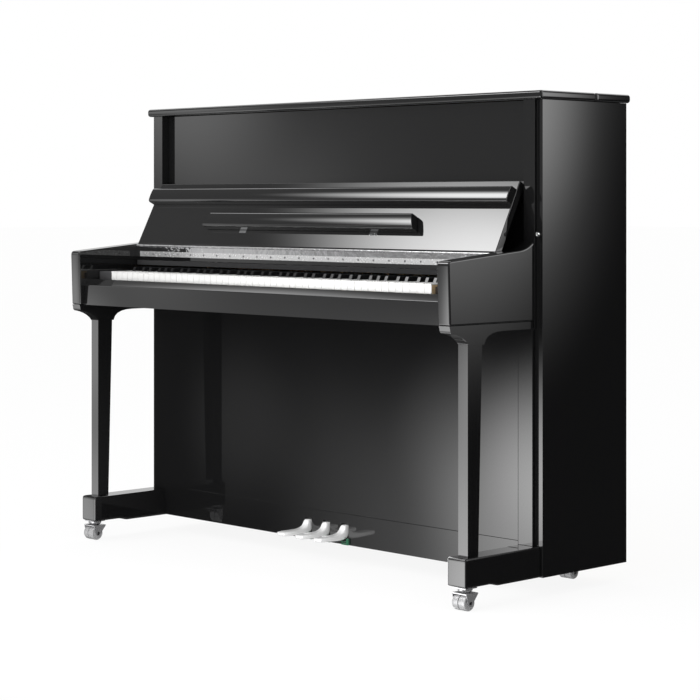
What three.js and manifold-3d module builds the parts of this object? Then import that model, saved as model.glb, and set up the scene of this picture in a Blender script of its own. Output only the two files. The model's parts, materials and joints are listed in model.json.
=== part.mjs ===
// An upright piano in millimetres, +Z up, with the keyboard facing -Y. It is drawn with X = 0 at the middle
// of the keyboard, Y = 0 at the front edge of the side boards and Z = 0 on the floor. The last lines move
// the whole group back or forward, so that its origin lies on the floor under the middle of its footprint.
import * as THREE from "three";
import { mergeVertices } from "three/addons/utils/BufferGeometryUtils.js";
import Module from "manifold-3d";

// ---------------------------------------------------------------- driving dimensions
const gap = 0.3; // clearance between pieces that touch
const slidingGap = 2; // clearance above a piece that lifts or tilts out

// Case
const pianoHeight = 1210;
const sideDepth = 318.6;
const sideThickness = 34;
const sideReveal = 16.7; // side board outboard of the post
const lidThickness = 21.5;
const lidSideOverhang = 10.6;
const lidFrontOverhang = 16;
const lidBackOverhang = 5.4;
const rearLidDepth = 134;
const caseBottom = 48;
const postDepth = 26; // post behind the side board's front edge
const upperPostProud = 10;
const lowerPostProud = 12;
const upperPostWidth = 34.5;
const lowerPostWidth = 44.7;
const lowerPostInset = 5.2; // lower post inboard of the arm's outer face
const panelThickness = 20;
const upperPanelSetback = 13.4;
const bottomRailRise = 9; // bottom rail's top above the toe blocks
const bottomRailBottom = 50;
const bottomBoardThickness = 18;

// Keyboard
const whiteCount = 52;
const keyPitch = 23.5;
const keySlit = 1; // between neighbouring keys
const keyFront = -250.6;
const headLength = 50;
const keyHeight = 23.6;
const whiteTop = 751.6;
const whiteRear = 100;
const sharpWidth = 10.5;
const sharpRise = 11.4;
const sharpLength = 96;
const sharpSlope = 10.5;
const sharpRear = 95;
const tieDepth = 15; // strip behind the keys of the bank
const tieStep = 2; // the strip is this much thinner than a key, at its top and at its bottom
const sharpTieDepth = 8;
const looseWhites = 7; // white keys at the treble end that move by themselves
const balanceRailY = -30;
const balanceRailHalf = 15;
const balanceRailDrop = 1.5; // rails below the keys
const frontRailDrop = 13;
const frontRailSetback = 12;
const keyRailDepth = 40;
const keyFrameCross = 20; // half width of its cross pieces
const keyFrameThickness = 12;
const keyFrameEnd = 30;

// Keybed, key slip, key blocks and arms
const keyEndRoom = 11;
const keyBlockWidth = 59.5;
const keyBlockFront = -239;
const keyBlockDrop = 1; // key blocks below the white keys' tops
const armThickness = 39.4;
const armReach = 308;
const armTopFront = 808;
const armTopRear = 829;
const armPostTop = 850;
const armNoseRadius = 12;
const armTilt = 4.5; // how far the arm's foot lies behind its nose
const armSweep = 50; // length of the curve from the arm's top up to the post
const armSweepCorner = 20;
const armSweepRise = 3;
const keybedBottom = 658.5;
const keybedThickness = 36;
const keybedRear = 140;
const keySlipFront = -291;
const keySlipThickness = 22;
const keySlipShoulder = 713.5;
const keySlipTop = 729;
const keySlipFlat = 6;
const keySlipTilt = 2;
const keySlipEase = 3;

// Legs and toe blocks
const legInset = 4.6; // leg inboard of the arm's outer face
const legWidth = 30.1;
const legFront = -239;
const legTopDepth = 49;
const legFootDepth = 36;
const legShoulder = 612;
const consoleHeight = 17.5;
const consoleSetback = 2; // the console's nose behind the arm's foot
const consoleInnerInset = 4;
const consoleOuterInset = 2;
const consoleToe = 10;
const curlReach = 14; // the console's curve runs on in front of the leg
const curlDrop = 8;
const bracketStep = 5; // the bracket overlaps the back of the leg
const bracketLean = 6;
const bracketReach = 66;
const toeBlockProud = 9.8; // toe block outboard of the arm's outer face
const toeBlockFront = -261.5;
const toeBlockTop = 122;
const toeBlockRadius = 8;
const toeBlockLift = 6; // its front half lies higher, over the caster
const toeBlockStep = -143;
const toeBlockRamp = 34;

// Fallboard, its rail and hinge
const pinY = -106;
const pinZ = 820;
const pinRadius = 3.5;
const fallboardLength = 196.4;
const fallboardThickness = 20;
const fallboardLean = 27.35; // degrees back from upright, when open
const fallboardEndGap = 1.4;
const lipLength = 42.7;
const lipThickness = 24;
const ledgeToLip = 32.6;
const ledgeHeight = 43.7;
const ledgeThickness = 24;
const ledgeHalfTop = 383;
const ledgeHalfFoot = 403;
const leafThickness = 1.5;
const leafHeight = 30;
const railBottom = 779;
const railDrop = 9; // rail's top below the pin
const railThickness = 20;
const railLip = 8; // the rail's back edge behind the shelf's front
const shelfTop = 800.5;
const shelfThickness = 14.5;

// Pedals
const pedalSpacing = 70;
const pedalWidth = 22;
const pedalPivotY = 60;
const pedalPivotZ = 88;
const pedalTailTop = 100;
const pedalTailEnd = 156;
const pedalReach = 115;
const pedalBarThickness = 9;
const pedalNeckDepth = 8;
const pedalNeckRise = 2; // top of the neck above the bar
const pedalNeckCorner = 5;
const pedalWebBack = 8; // the web's rear edge inside the rail's front face
const pedalHeel = 33; // underside of the neck below the bar's top
const pedalSole = 37;
const pedalSoleReach = 28;
const pedalToeTop = 21;
const pedalToeThickness = 12;
const pedalToeRadius = 12;
const pedalInstep = 40; // reach of the neck's front curve
const pedalSlotRoom = 3; // at each side of the bar
const pedalSlotDrop = 45;
const pedalSlotRise = 5;
const pedalRestHalf = 6;
const pedalRestGap = 2;
const rodRadius = 5;
const rodY = 150;
const rodTop = 785;
const rodGap = 0.6;
const rodSides = 8;

// Casters
const frontCasterInset = 16.2; // inboard of the arm's outer face
const frontCasterSetback = 25.5; // behind the toe block's front
const rearCasterInset = 95.3; // inboard of the side board
const rearCasterY = 255;
const wheelSides = 16;
const frontWheelRadius = 19;
const rearWheelRadius = 17;
const wheelWidth = 40;
const wheelGroove = 3;
const wheelEdge = 3; // depth of its groove and of its chamfers
const casterTrail = -6; // the axle lies in front of the swivel
const casterPlate = 40;
const casterPlateThickness = 3;
const casterNeckHalf = 8;
const forkThickness = 2.5;
const forkBridgeHalf = 20;
const forkBossHalf = 7;
const forkBossDrop = 6;
const forkBossRadius = 5;
const forkSideRoom = 1;
const forkTopRoom = 1.5;
const axleRadius = 3;
const axleClearance = 0.6;

// Back and inside
const backFrameDepth = 54;
const backFrameInset = 2; // in from the side boards' rear edges
const backPostWidth = 72;
const backPosts = 5;
const backBeam = 110;
const soundboardY = 246;
const soundboardThickness = 8;
const boardTopRoom = 40; // soundboard's top below the case's top
const plateInset = 10; // plate inside the soundboard, at top and bottom
const plateY = 212;
const plateThickness = 18;
const plateMargin = 12;
const platePosts = 5;
const platePostWidth = 46;
const plateBottomBeam = 160;
const plateTopBeam = 180;
const stringY = 205;
const stringCount = 30;
const stringThickness = 2;
const stringFoot = 90; // lowest string end above the bottom board
const stringHead = 60; // highest string end below the plate's top
const stringBarHeight = 6;
const bracketHalf = 4; // action brackets, hammers: half of their width
const actionRailDepth = 28;
const actionRailDrop = 55;
const actionRailHeight = 35;
const bracketFootDepth = 20;
const bracketHeadDrop = 15;
const bracketPlaces = [-1, -0.35, 0.35, 1]; // shares of the half width
const hammerCount = 29;
const hammerPivotY = 128;
const hammerPivotZ = 845;
const hammerEndRoom = 20; // outer hammers inside the keyboard's ends
const hammerButtBack = 8;
const hammerButtFront = 6;
const hammerShankLean = 26;
const hammerShankTop = 130;
const hammerTipReach = 32;
const hammerTipBottom = 134;
const hammerTipTop = 146;
const hammerTailReach = 40;
const hammerTailTop = 152;
const restRailFront = 50;
const restRailBack = 22;
const restRailBottom = 66;
const restRailTop = 90;
const damperCount = 22;
const damperPitch = 42;
const damperHalf = 5;
const damperRailDepth = 12;
const damperRailHeight = 10;
const damperRailFront = 46; // from the strings to the front of the rail
const damperWireReach = 40;
const damperWireDepth = 6;
const damperHeadDepth = 22;
const damperHeadBottom = 60;
const damperHeadTop = 95;
const damperShoulderReach = 28;
const damperShoulder = 75;
const mufflerFront = 19; // from the strings
const mufflerBack = 15;
const mufflerBottom = 165; // above the hammers' pivot
const mufflerTop = 205;
const innerMargin = 62; // action parts inside the side boards

// ---------------------------------------------------------------- sizes worked out from those
const keyboardHalf = (whiteCount * keyPitch) / 2;
const keyBottom = whiteTop - keyHeight;
const sharpTop = whiteTop + sharpRise;
const headBack = keyFront + headLength;
const armInner = keyboardHalf + keyEndRoom + keyBlockWidth + gap;
const armOuter = armInner + armThickness;
const sideOuter = armOuter + sideReveal;
const sideInner = sideOuter - sideThickness;
const upperPostInner = armOuter - upperPostWidth;
const lowerPostOuter = armOuter - lowerPostInset;
const lowerPostInner = lowerPostOuter - lowerPostWidth;
const lidHalf = sideOuter + lidSideOverhang;
const lidBottom = pianoHeight - lidThickness;
const caseTop = lidBottom - gap;
const lidBack = sideDepth + lidBackOverhang;
const consoleBottom = keybedBottom - consoleHeight;
const keybedTop = keybedBottom + keybedThickness;
const legOuter = armOuter - legInset;
const legInner = legOuter - legWidth;
const toeBlockOuter = armOuter + toeBlockProud;
const bottomRailTop = toeBlockTop + bottomRailRise;
const toeBlockInner = lowerPostInner;
const bottomBoardTop = bottomRailBottom + bottomBoardThickness;
const backFrameFront = sideDepth - backFrameInset - backFrameDepth;
const insideHalf = sideInner - gap;
const actionHalf = sideInner - innerMargin;

// ---------------------------------------------------------------- finishes
const lacquer = () => new THREE.MeshStandardMaterial({ color: 0x0a0a0b, roughness: 0.08, metalness: 0 });
const chrome = () => new THREE.MeshStandardMaterial({ color: 0xc9cbcd, roughness: 0.12, metalness: 1 });
const ivory = () => new THREE.MeshStandardMaterial({ color: 0xf1f0ea, roughness: 0.2, metalness: 0 });
const ebony = () => new THREE.MeshStandardMaterial({ color: 0x121213, roughness: 0.35, metalness: 0 });
const spruce = () => new THREE.MeshStandardMaterial({ color: 0xc9a26b, roughness: 0.6, metalness: 0 });
const beech = () => new THREE.MeshStandardMaterial({ color: 0xb58a5c, roughness: 0.65, metalness: 0 });
const castIron = () => new THREE.MeshStandardMaterial({ color: 0xa07a35, roughness: 0.45, metalness: 0.7 });
const steel = () => new THREE.MeshStandardMaterial({ color: 0xb4b6b8, roughness: 0.3, metalness: 1 });
const felt = () => new THREE.MeshStandardMaterial({ color: 0xd9d5c8, roughness: 0.95, metalness: 0 });

// ---------------------------------------------------------------- shapes
const wasm = await Module();
wasm.setup();

const axisX = new THREE.Vector3(1, 0, 0);
const axisY = new THREE.Vector3(0, 1, 0);
const axisZ = new THREE.Vector3(0, 0, 1);
const curveSteps = 5;

// A rectangular block between two opposite corners.
function block([x0, y0, z0], [x1, y1, z1]) {
  const box = new THREE.BoxGeometry(x1 - x0, y1 - y0, z1 - z0);
  return box.translate((x0 + x1) / 2, (y0 + y1) / 2, (z0 + z1) / 2);
}

// An outline as a shape; a point [a, b, radius] is rounded off.
function outline(points) {
  const shape = new THREE.Shape();
  const corner = (i) => new THREE.Vector2(...points[(i + points.length) % points.length].slice(0, 2));
  points.forEach(([a, b, radius = 0], i) => {
    const here = new THREE.Vector2(a, b);
    const before = corner(i - 1).sub(here).setLength(radius).add(here);
    const after = corner(i + 1).sub(here).setLength(radius).add(here);
    if (i === 0) shape.moveTo(before.x, before.y);
    else shape.lineTo(before.x, before.y);
    if (radius > 0) shape.quadraticCurveTo(a, b, after.x, after.y);
  });
  return shape;
}

function extrude(shape, depth) {
  return new THREE.ExtrudeGeometry(shape, { depth, bevelEnabled: false, curveSegments: curveSteps });
}

// A side profile, drawn in Y and Z, run along X.
function alongX(shape, x0, x1) {
  const turn = new THREE.Matrix4().makeBasis(axisY, axisZ, axisX);
  return extrude(shape, x1 - x0).applyMatrix4(turn).translate(x0, 0, 0);
}

// A front view, drawn in X and Z, run along Y.
function alongY(shape, y0, y1) {
  const turn = new THREE.Matrix4().makeBasis(axisX, axisZ, axisY.clone().negate());
  return extrude(shape, y1 - y0).applyMatrix4(turn).translate(0, y1, 0);
}

// A plan, drawn in X and Y, run up Z.
function alongZ(shape, z0, z1) {
  return extrude(shape, z1 - z0).translate(0, 0, z0);
}

// An eight-sided rod along X.
function rodX(radius, x0, x1, y, z) {
  const rod = new THREE.CylinderGeometry(radius, radius, x1 - x0, rodSides);
  return rod.rotateZ(Math.PI / 2).translate((x0 + x1) / 2, y, z);
}

function solidOf(geometry) {
  const bare = geometry.clone();
  bare.deleteAttribute("normal");
  bare.deleteAttribute("uv");
  const merged = mergeVertices(bare, 1e-3);
  const triVerts = new Uint32Array(merged.index.array);
  const vertProperties = merged.attributes.position.array;
  return new wasm.Manifold(new wasm.Mesh({ numProp: 3, vertProperties, triVerts }));
}

function geometryOf(solid) {
  const mesh = solid.getMesh();
  const geometry = new THREE.BufferGeometry();
  geometry.setAttribute("position", new THREE.BufferAttribute(mesh.vertProperties, 3));
  geometry.setIndex(new THREE.BufferAttribute(mesh.triVerts, 1));
  geometry.computeVertexNormals();
  return geometry;
}

function join(pieces) {
  return geometryOf(pieces.map(solidOf).reduce((whole, piece) => whole.add(piece)));
}

function cut(piece, tools) {
  return geometryOf(tools.map(solidOf).reduce((rest, tool) => rest.subtract(tool), solidOf(piece)));
}

const piano = new THREE.Group();

function add(name, geometry, material, parent = piano) {
  const mesh = new THREE.Mesh(geometry, material);
  mesh.name = name;
  parent.add(mesh);
}

// The two sides of the piano; span gives a range of X on one side, from its inner and outer distance.
const sides = [
  { side: "left", sign: -1 },
  { side: "right", sign: 1 },
];
const span = (sign, inner, outer) => (sign > 0 ? [inner, outer] : [-outer, -inner]);

// ---------------------------------------------------------------- case
function sideBoard(sign) {
  const part = (inner, outer, y0, y1, z0, z1) => {
    const [x0, x1] = span(sign, inner, outer);
    return block([x0, y0, z0], [x1, y1, z1]);
  };
  return join([
    part(sideInner, sideOuter, 0, sideDepth, caseBottom, caseTop),
    part(lowerPostInner, lowerPostOuter, -lowerPostProud, postDepth, toeBlockTop + gap, consoleBottom),
    part(upperPostInner, armOuter, -upperPostProud, postDepth, consoleBottom - 1, caseTop),
  ]);
}

function arm(sign) {
  const back = -upperPostProud - gap;
  const shape = new THREE.Shape();
  shape.moveTo(back, keybedBottom + gap);
  shape.lineTo(back, armPostTop);
  shape.quadraticCurveTo(back - armSweepCorner, armTopRear + armSweepRise, back - armSweep, armTopRear);
  shape.lineTo(-armReach + armNoseRadius, armTopFront);
  shape.quadraticCurveTo(-armReach, armTopFront, -armReach, armTopFront - armNoseRadius);
  shape.lineTo(-armReach + armTilt, keybedBottom + gap);
  return alongX(shape, ...span(sign, armInner, armOuter));
}

// A leg hangs from its console rail, with a rounded toe in front and a bracket behind.
function leg(sign) {
  const front = -armReach + armTilt;
  const nose = front + consoleSetback;
  const legBack = legFront + legTopDepth;
  const bracketFoot = legBack + bracketStep;
  const railBack = -lowerPostProud - gap;
  const console = new THREE.Shape();
  console.moveTo(railBack, keybedBottom);
  console.lineTo(front, keybedBottom);
  console.lineTo(nose, consoleBottom + consoleToe);
  console.quadraticCurveTo(nose, consoleBottom, nose + consoleToe, consoleBottom);
  console.quadraticCurveTo(legFront - curlReach, consoleBottom - curlDrop, legFront + 1, legShoulder);
  console.lineTo(bracketFoot, legShoulder);
  const bracketBack = bracketFoot + bracketReach;
  console.quadraticCurveTo(bracketFoot + bracketLean, consoleBottom, bracketBack, consoleBottom);
  console.lineTo(railBack, consoleBottom);
  const post = outline([
    [legFront, toeBlockTop + gap],
    [legFront + legFootDepth, toeBlockTop + gap],
    [legBack, legShoulder + 1],
    [legFront, legShoulder + 1],
  ]);
  return join([
    alongX(console, ...span(sign, armInner + consoleInnerInset, armOuter - consoleOuterInset)),
    alongX(post, ...span(sign, legInner, legOuter)),
  ]);
}

function toeBlock(sign) {
  const lifted = caseBottom + toeBlockLift;
  const shape = new THREE.Shape();
  shape.moveTo(-gap, caseBottom);
  shape.lineTo(-gap, toeBlockTop);
  shape.lineTo(toeBlockFront + toeBlockRadius, toeBlockTop);
  shape.quadraticCurveTo(toeBlockFront, toeBlockTop, toeBlockFront, toeBlockTop - toeBlockRadius);
  shape.lineTo(toeBlockFront, lifted);
  const rampStart = toeBlockStep - toeBlockRamp;
  const rampMiddle = toeBlockStep - toeBlockRamp / 2;
  shape.lineTo(rampStart, lifted);
  shape.quadraticCurveTo(rampStart + toeBlockLift, lifted, rampMiddle, caseBottom + toeBlockLift / 2);
  shape.quadraticCurveTo(toeBlockStep - toeBlockLift, caseBottom, toeBlockStep, caseBottom);
  return alongX(shape, ...span(sign, toeBlockInner, toeBlockOuter));
}

for (const { side, sign } of sides) {
  add(side + "_side", sideBoard(sign), lacquer());
  add(side + "_arm", arm(sign), lacquer());
  add(side + "_leg", leg(sign), lacquer());
  add(side + "_toe_block", toeBlock(sign), lacquer());
}

const lidSplit = lidBack - rearLidDepth;
const frontLid = block([-lidHalf, -lidFrontOverhang, lidBottom], [lidHalf, lidSplit - gap, pianoHeight]);
const rearLid = block([-lidHalf, lidSplit + gap, lidBottom], [lidHalf, lidBack, pianoHeight]);
add("front_lid", frontLid, lacquer());
add("rear_lid", rearLid, lacquer());

const upperPanelHalf = upperPostInner - gap;
const upperPanel = block(
  [-upperPanelHalf, upperPanelSetback, shelfTop + gap],
  [upperPanelHalf, upperPanelSetback + panelThickness, caseTop - gap],
);
add("upper_panel", upperPanel, lacquer());

const lowerPanelHalf = lowerPostInner - gap;
const lowerPanel = block(
  [-lowerPanelHalf, -lowerPostProud, bottomRailTop + gap],
  [lowerPanelHalf, -lowerPostProud + panelThickness, keybedBottom - slidingGap],
);
add("lower_panel", lowerPanel, lacquer());

// ------------------------------------------------ pedals, with the rail and board that carry them
const pedals = [
  { name: "left_pedal", x: -pedalSpacing },
  { name: "middle_pedal", x: 0 },
  { name: "right_pedal", x: pedalSpacing },
];

function bottomRail() {
  const half = toeBlockInner - gap;
  const back = -lowerPostProud + panelThickness;
  const slotHalf = pedalWidth / 2 + pedalSlotRoom;
  const slot = ({ x }) =>
    block(
      [x - slotHalf, -lowerPostProud - 1, pedalTailTop - pedalSlotDrop],
      [x + slotHalf, back + 1, pedalTailTop + pedalSlotRise],
    );
  const rail = block([-half, -lowerPostProud, bottomRailBottom], [half, back, bottomRailTop]);
  return cut(rail, pedals.map(slot));
}

function bottomBoard() {
  const front = -lowerPostProud + panelThickness + gap;
  const board = block(
    [-insideHalf, front, bottomRailBottom],
    [insideHalf, backFrameFront - gap, bottomBoardTop],
  );
  const rest = ({ x }) =>
    block(
      [x - pedalWidth / 2, pedalPivotY - pedalRestHalf, bottomBoardTop - 1],
      [x + pedalWidth / 2, pedalPivotY + pedalRestHalf, pedalPivotZ - pedalRestGap],
    );
  return join([board, ...pedals.map(rest)]);
}

// A pedal: a flat bar inside, then a deep neck that comes out through the rail, and a toe reaching forward.
function pedal(x) {
  const railFace = -lowerPostProud;
  const neck = railFace - pedalNeckDepth;
  const neckTop = pedalTailTop + pedalNeckRise;
  const web = railFace + pedalWebBack;
  const heel = pedalTailTop - pedalHeel;
  const sole = pedalTailTop - pedalSole;
  const toe = -pedalReach;
  const toeTop = pedalTailTop - pedalToeTop;
  const toeBottom = toeTop - pedalToeThickness;
  const barBottom = pedalTailTop - pedalBarThickness;
  const shape = new THREE.Shape();
  shape.moveTo(pedalTailEnd, pedalTailTop);
  shape.lineTo(web, neckTop);
  shape.lineTo(neck + pedalNeckCorner, neckTop);
  shape.quadraticCurveTo(neck, neckTop, neck, neckTop - pedalNeckCorner);
  shape.quadraticCurveTo(neck - pedalNeckCorner, toeTop, neck - pedalInstep, toeTop);
  shape.lineTo(toe + pedalToeRadius, toeTop);
  shape.quadraticCurveTo(toe, toeTop, toe, toeTop - pedalToeThickness / 2);
  shape.quadraticCurveTo(toe, toeBottom, toe + pedalToeRadius, toeBottom);
  shape.lineTo(railFace - pedalSoleReach, sole);
  shape.quadraticCurveTo(railFace - pedalNeckDepth, sole, railFace, heel);
  shape.lineTo(web, heel);
  shape.lineTo(web, barBottom);
  shape.lineTo(pedalTailEnd, barBottom);
  return alongX(shape, x - pedalWidth / 2, x + pedalWidth / 2);
}

function pedalRod(x) {
  const bottom = pedalTailTop + rodGap;
  const rod = new THREE.CylinderGeometry(rodRadius, rodRadius, rodTop - bottom, rodSides);
  return rod.rotateX(Math.PI / 2).translate(x, rodY, (rodTop + bottom) / 2);
}

add("bottom_rail", bottomRail(), lacquer());
add("bottom_board", bottomBoard(), beech());
for (const { name, x } of pedals) {
  add(name, pedal(x), chrome());
  add(name + "_rod", pedalRod(x), beech());
}

// ---------------------------------------------------------------- keybed, key slip and key blocks
const keybedHalf = armInner - gap;
const keybed = block(
  [-keybedHalf, keySlipFront + keySlipThickness + gap, keybedBottom],
  [keybedHalf, keybedRear, keybedTop],
);
add("keybed", keybed, lacquer());

const slipBack = keySlipFront + keySlipThickness + keySlipFlat;
const keySlip = outline([
  [keySlipFront + keySlipTilt, keybedBottom],
  [keySlipFront + keySlipThickness, keybedBottom],
  [keySlipFront + keySlipThickness, keybedTop + gap],
  [slipBack, keybedTop + gap],
  [slipBack, keySlipTop],
  [slipBack - keySlipFlat, keySlipTop],
  [keySlipFront, keySlipShoulder, keySlipEase],
]);
add("key_slip", alongX(keySlip, -keybedHalf, keybedHalf), lacquer());

for (const { side, sign } of sides) {
  const [x0, x1] = span(sign, keyboardHalf + keyEndRoom, keyboardHalf + keyEndRoom + keyBlockWidth);
  const keyBlock = block(
    [x0, keyBlockFront, keybedTop + gap],
    [x1, pinY + railThickness, whiteTop - keyBlockDrop],
  );
  add(side + "_key_block", keyBlock, lacquer());
}

// ---------------------------------------------------------------- keys
// The 88 notes run from A to C. A sharp stands beside each natural but B and E, shifted off the line between
// its two naturals; naturals are numbered from the left end, and the first is an A.
const naturalNames = ["a", "b", "c", "d", "e", "f", "g"];
const sharpShift = { a: 3.6, c: -2.9, d: 2.9, f: -3.6, g: 0 };

const naturals = Array.from({ length: whiteCount }, (_, i) => {
  const note = naturalNames[i % 7];
  const octave = Math.floor((i + 5) / 7);
  const x0 = -keyboardHalf + i * keyPitch;
  const last = i === whiteCount - 1;
  const sharpX = note in sharpShift && !last ? x0 + keyPitch + sharpShift[note] : null;
  return { note, octave, x0, sharpX, loose: i >= whiteCount - looseWhites };
});

const sharps = naturals
  .filter(({ sharpX }) => sharpX !== null)
  .map(({ note, octave, sharpX }) => {
    const loose = sharpX > naturals[whiteCount - looseWhites].x0 - keyPitch / 2;
    return { note, octave, x: sharpX, loose };
  });

function whiteKey(i) {
  const { x0 } = naturals[i];
  const left = x0 + keySlit / 2;
  const right = x0 + keyPitch - keySlit / 2;
  const room = sharpWidth / 2 + keySlit;
  const sharpBefore = i > 0 ? naturals[i - 1].sharpX : null;
  const sharpAfter = naturals[i].sharpX;
  const tailLeft = sharpBefore === null ? left : sharpBefore + room;
  const tailRight = sharpAfter === null ? right : sharpAfter - room;
  const plan = [
    [left, keyFront],
    [right, keyFront],
  ];
  if (tailRight !== right) plan.push([right, headBack], [tailRight, headBack]);
  plan.push([tailRight, whiteRear], [tailLeft, whiteRear]);
  if (tailLeft !== left) plan.push([tailLeft, headBack], [left, headBack]);
  return alongZ(outline(plan), keyBottom, whiteTop);
}

function sharpKey({ x }) {
  const front = headBack + keySlit;
  const back = front + sharpLength;
  const profile = outline([
    [front, keyBottom],
    [sharpRear, keyBottom],
    [sharpRear, whiteTop],
    [back, whiteTop],
    [back, sharpTop],
    [front + sharpSlope, sharpTop],
    [front, whiteTop],
  ]);
  return alongX(profile, x - sharpWidth / 2, x + sharpWidth / 2);
}

const bankNaturals = naturals.filter(({ loose }) => !loose);
const bankSharps = sharps.filter(({ loose }) => !loose);
const bankTie = block(
  [bankNaturals[0].x0 + sharpWidth, whiteRear - 5, keyBottom + tieStep],
  [bankNaturals.at(-1).x0 + sharpWidth, whiteRear + tieDepth, whiteTop - tieStep],
);
const sharpTieBack = headBack + keySlit + sharpLength;
const sharpTie = block(
  [bankSharps[0].x, sharpTieBack - 1, whiteTop + keySlit],
  [bankSharps.at(-1).x, sharpTieBack + sharpTieDepth, sharpTop - gap],
);
// The tie stands on a small foot of each sharp, so that the bank of sharps is one piece.
const sharpFoot = ({ x }) =>
  block(
    [x - sharpWidth / 2 + 1, sharpTieBack - 1, whiteTop - 1],
    [x + sharpWidth / 2 - 1, sharpTieBack + sharpTieDepth, sharpTop - gap],
  );
add("white_keys", join([...bankNaturals.map((_, i) => whiteKey(i)), bankTie]), ivory());
add("black_keys", join([...bankSharps.map(sharpKey), ...bankSharps.map(sharpFoot), sharpTie]), ebony());
naturals.forEach(({ note, octave, loose }, i) => {
  if (loose) add("key_" + note + octave, whiteKey(i), ivory());
});
for (const sharp of sharps.filter(({ loose }) => loose)) {
  add("key_" + sharp.note + "_sharp" + sharp.octave, sharpKey(sharp), ebony());
}

// Three long rails on cross pieces carry the keys; the balance rail is the one they rock on.
function keyFrame() {
  const frontRail = keyFront + frontRailSetback;
  const rail = (y0, y1, top) =>
    block([-keyboardHalf, y0, keybedTop + gap], [keyboardHalf, y1, top]);
  const cross = (x) =>
    block(
      [x - keyFrameCross, keyFront + keyFrameCross, keybedTop + gap],
      [x + keyFrameCross, whiteRear, keybedTop + keyFrameThickness],
    );
  const places = [-1, -0.5, 0, 0.5, 1].map((share) => share * (keyboardHalf - keyFrameEnd));
  return join([
    rail(frontRail, frontRail + keyRailDepth, keyBottom - frontRailDrop),
    rail(balanceRailY - balanceRailHalf, balanceRailY + balanceRailHalf, keyBottom - balanceRailDrop),
    rail(whiteRear - keyRailDepth, whiteRear, keyBottom - slidingGap),
    ...places.map(cross),
  ]);
}
add("key_frame", keyFrame(), beech());

// ---------------------------------------------------------------- fallboard, lip, ledge, hinge and rail
const fallboardGroup = new THREE.Group();
fallboardGroup.position.set(0, pinY, pinZ);
fallboardGroup.rotation.x = THREE.MathUtils.degToRad(-fallboardLean);
piano.add(fallboardGroup);

// Drawn upright, with the pin at Y = 0, Z = 0 and the inner face, which the player sees, at Y = 0.
const fallboardHalf = armInner - fallboardEndGap;
const lipTop = fallboardLength - lipThickness;
const ledgeTop = lipTop - lipLength - ledgeToLip;
const ledgeFoot = ledgeTop - ledgeHeight;
const fallboard = block(
  [-fallboardHalf, 0, pinRadius + slidingGap],
  [fallboardHalf, fallboardThickness, fallboardLength],
);
const lip = block(
  [-fallboardHalf, -gap - lipThickness, lipTop - lipLength],
  [fallboardHalf, -gap, lipTop],
);
const ledge = outline([
  [-ledgeHalfFoot, ledgeFoot],
  [ledgeHalfFoot, ledgeFoot],
  [ledgeHalfTop, ledgeTop],
  [-ledgeHalfTop, ledgeTop],
]);
add("fallboard", fallboard, lacquer(), fallboardGroup);
add("fallboard_lip", lip, lacquer(), fallboardGroup);
add("music_ledge", alongY(ledge, -3 * gap - ledgeThickness, -3 * gap), lacquer(), fallboardGroup);

const leafFront = pinY - pinRadius + 1;
const leafBack = leafFront + leafThickness;
const hinge = join([
  rodX(pinRadius, -fallboardHalf, fallboardHalf, pinY, pinZ),
  block([-fallboardHalf, leafFront, pinZ - leafHeight], [fallboardHalf, leafBack, pinZ]),
]);
add("fallboard_hinge", hinge, chrome());

const railFront = leafBack + gap;
const railTop = pinZ - railDrop;
const panelBack = upperPanelSetback + panelThickness;
const fallboardRail = outline([
  [railFront, railBottom],
  [railFront + railThickness, railBottom],
  [railFront + railThickness, shelfTop - shelfThickness],
  [panelBack, shelfTop - shelfThickness],
  [panelBack, shelfTop],
  [railFront + railThickness - railLip, shelfTop],
  [railFront + railThickness - railLip, railTop],
  [railFront, railTop],
]);
add("fallboard_rail", alongX(fallboardRail, -keybedHalf, keybedHalf), lacquer());

// ---------------------------------------------------------------- casters
// The wheel is a ring about X with a groove round its middle.
function wheel(radius) {
  const bore = axleRadius + axleClearance;
  const half = wheelWidth / 2;
  const profile = [
    [bore, -half],
    [radius - wheelEdge, -half],
    [radius, -half + wheelEdge],
    [radius, -wheelGroove / 2],
    [radius - wheelEdge, -wheelGroove / 2],
    [radius - wheelEdge, wheelGroove / 2],
    [radius, wheelGroove / 2],
    [radius, half - wheelEdge],
    [radius - wheelEdge, half],
    [bore, half],
    [bore, -half],
  ].map(([r, along]) => new THREE.Vector2(r, along));
  const ring = new THREE.LatheGeometry(profile, wheelSides, Math.PI / wheelSides);
  return ring.rotateZ(-Math.PI / 2);
}

// The fork: a plate screwed under the case, a neck, a bridge over the wheel, two cheeks and the axle.
function fork(radius, hub, top) {
  const inner = wheelWidth / 2 + forkSideRoom;
  const outer = inner + forkThickness;
  const bridge = hub + radius + forkTopRoom;
  const plateHalf = casterPlate / 2;
  const cheek = (x0, x1) =>
    alongX(
      outline([
        [casterTrail - forkBossHalf, hub - forkBossDrop, forkBossRadius],
        [casterTrail + forkBossHalf, hub - forkBossDrop, forkBossRadius],
        [forkBridgeHalf, bridge + forkThickness],
        [-forkBridgeHalf, bridge + forkThickness],
      ]),
      x0,
      x1,
    );
  return join([
    block([-plateHalf, -plateHalf, top - casterPlateThickness], [plateHalf, plateHalf, top]),
    block([-casterNeckHalf, -casterNeckHalf, bridge], [casterNeckHalf, casterNeckHalf, top]),
    block([-outer, -forkBridgeHalf, bridge], [outer, forkBridgeHalf, bridge + forkThickness]),
    cheek(-outer, -inner),
    cheek(inner, outer),
    rodX(axleRadius, -outer - 1, outer + 1, casterTrail, hub),
  ]);
}

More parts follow.
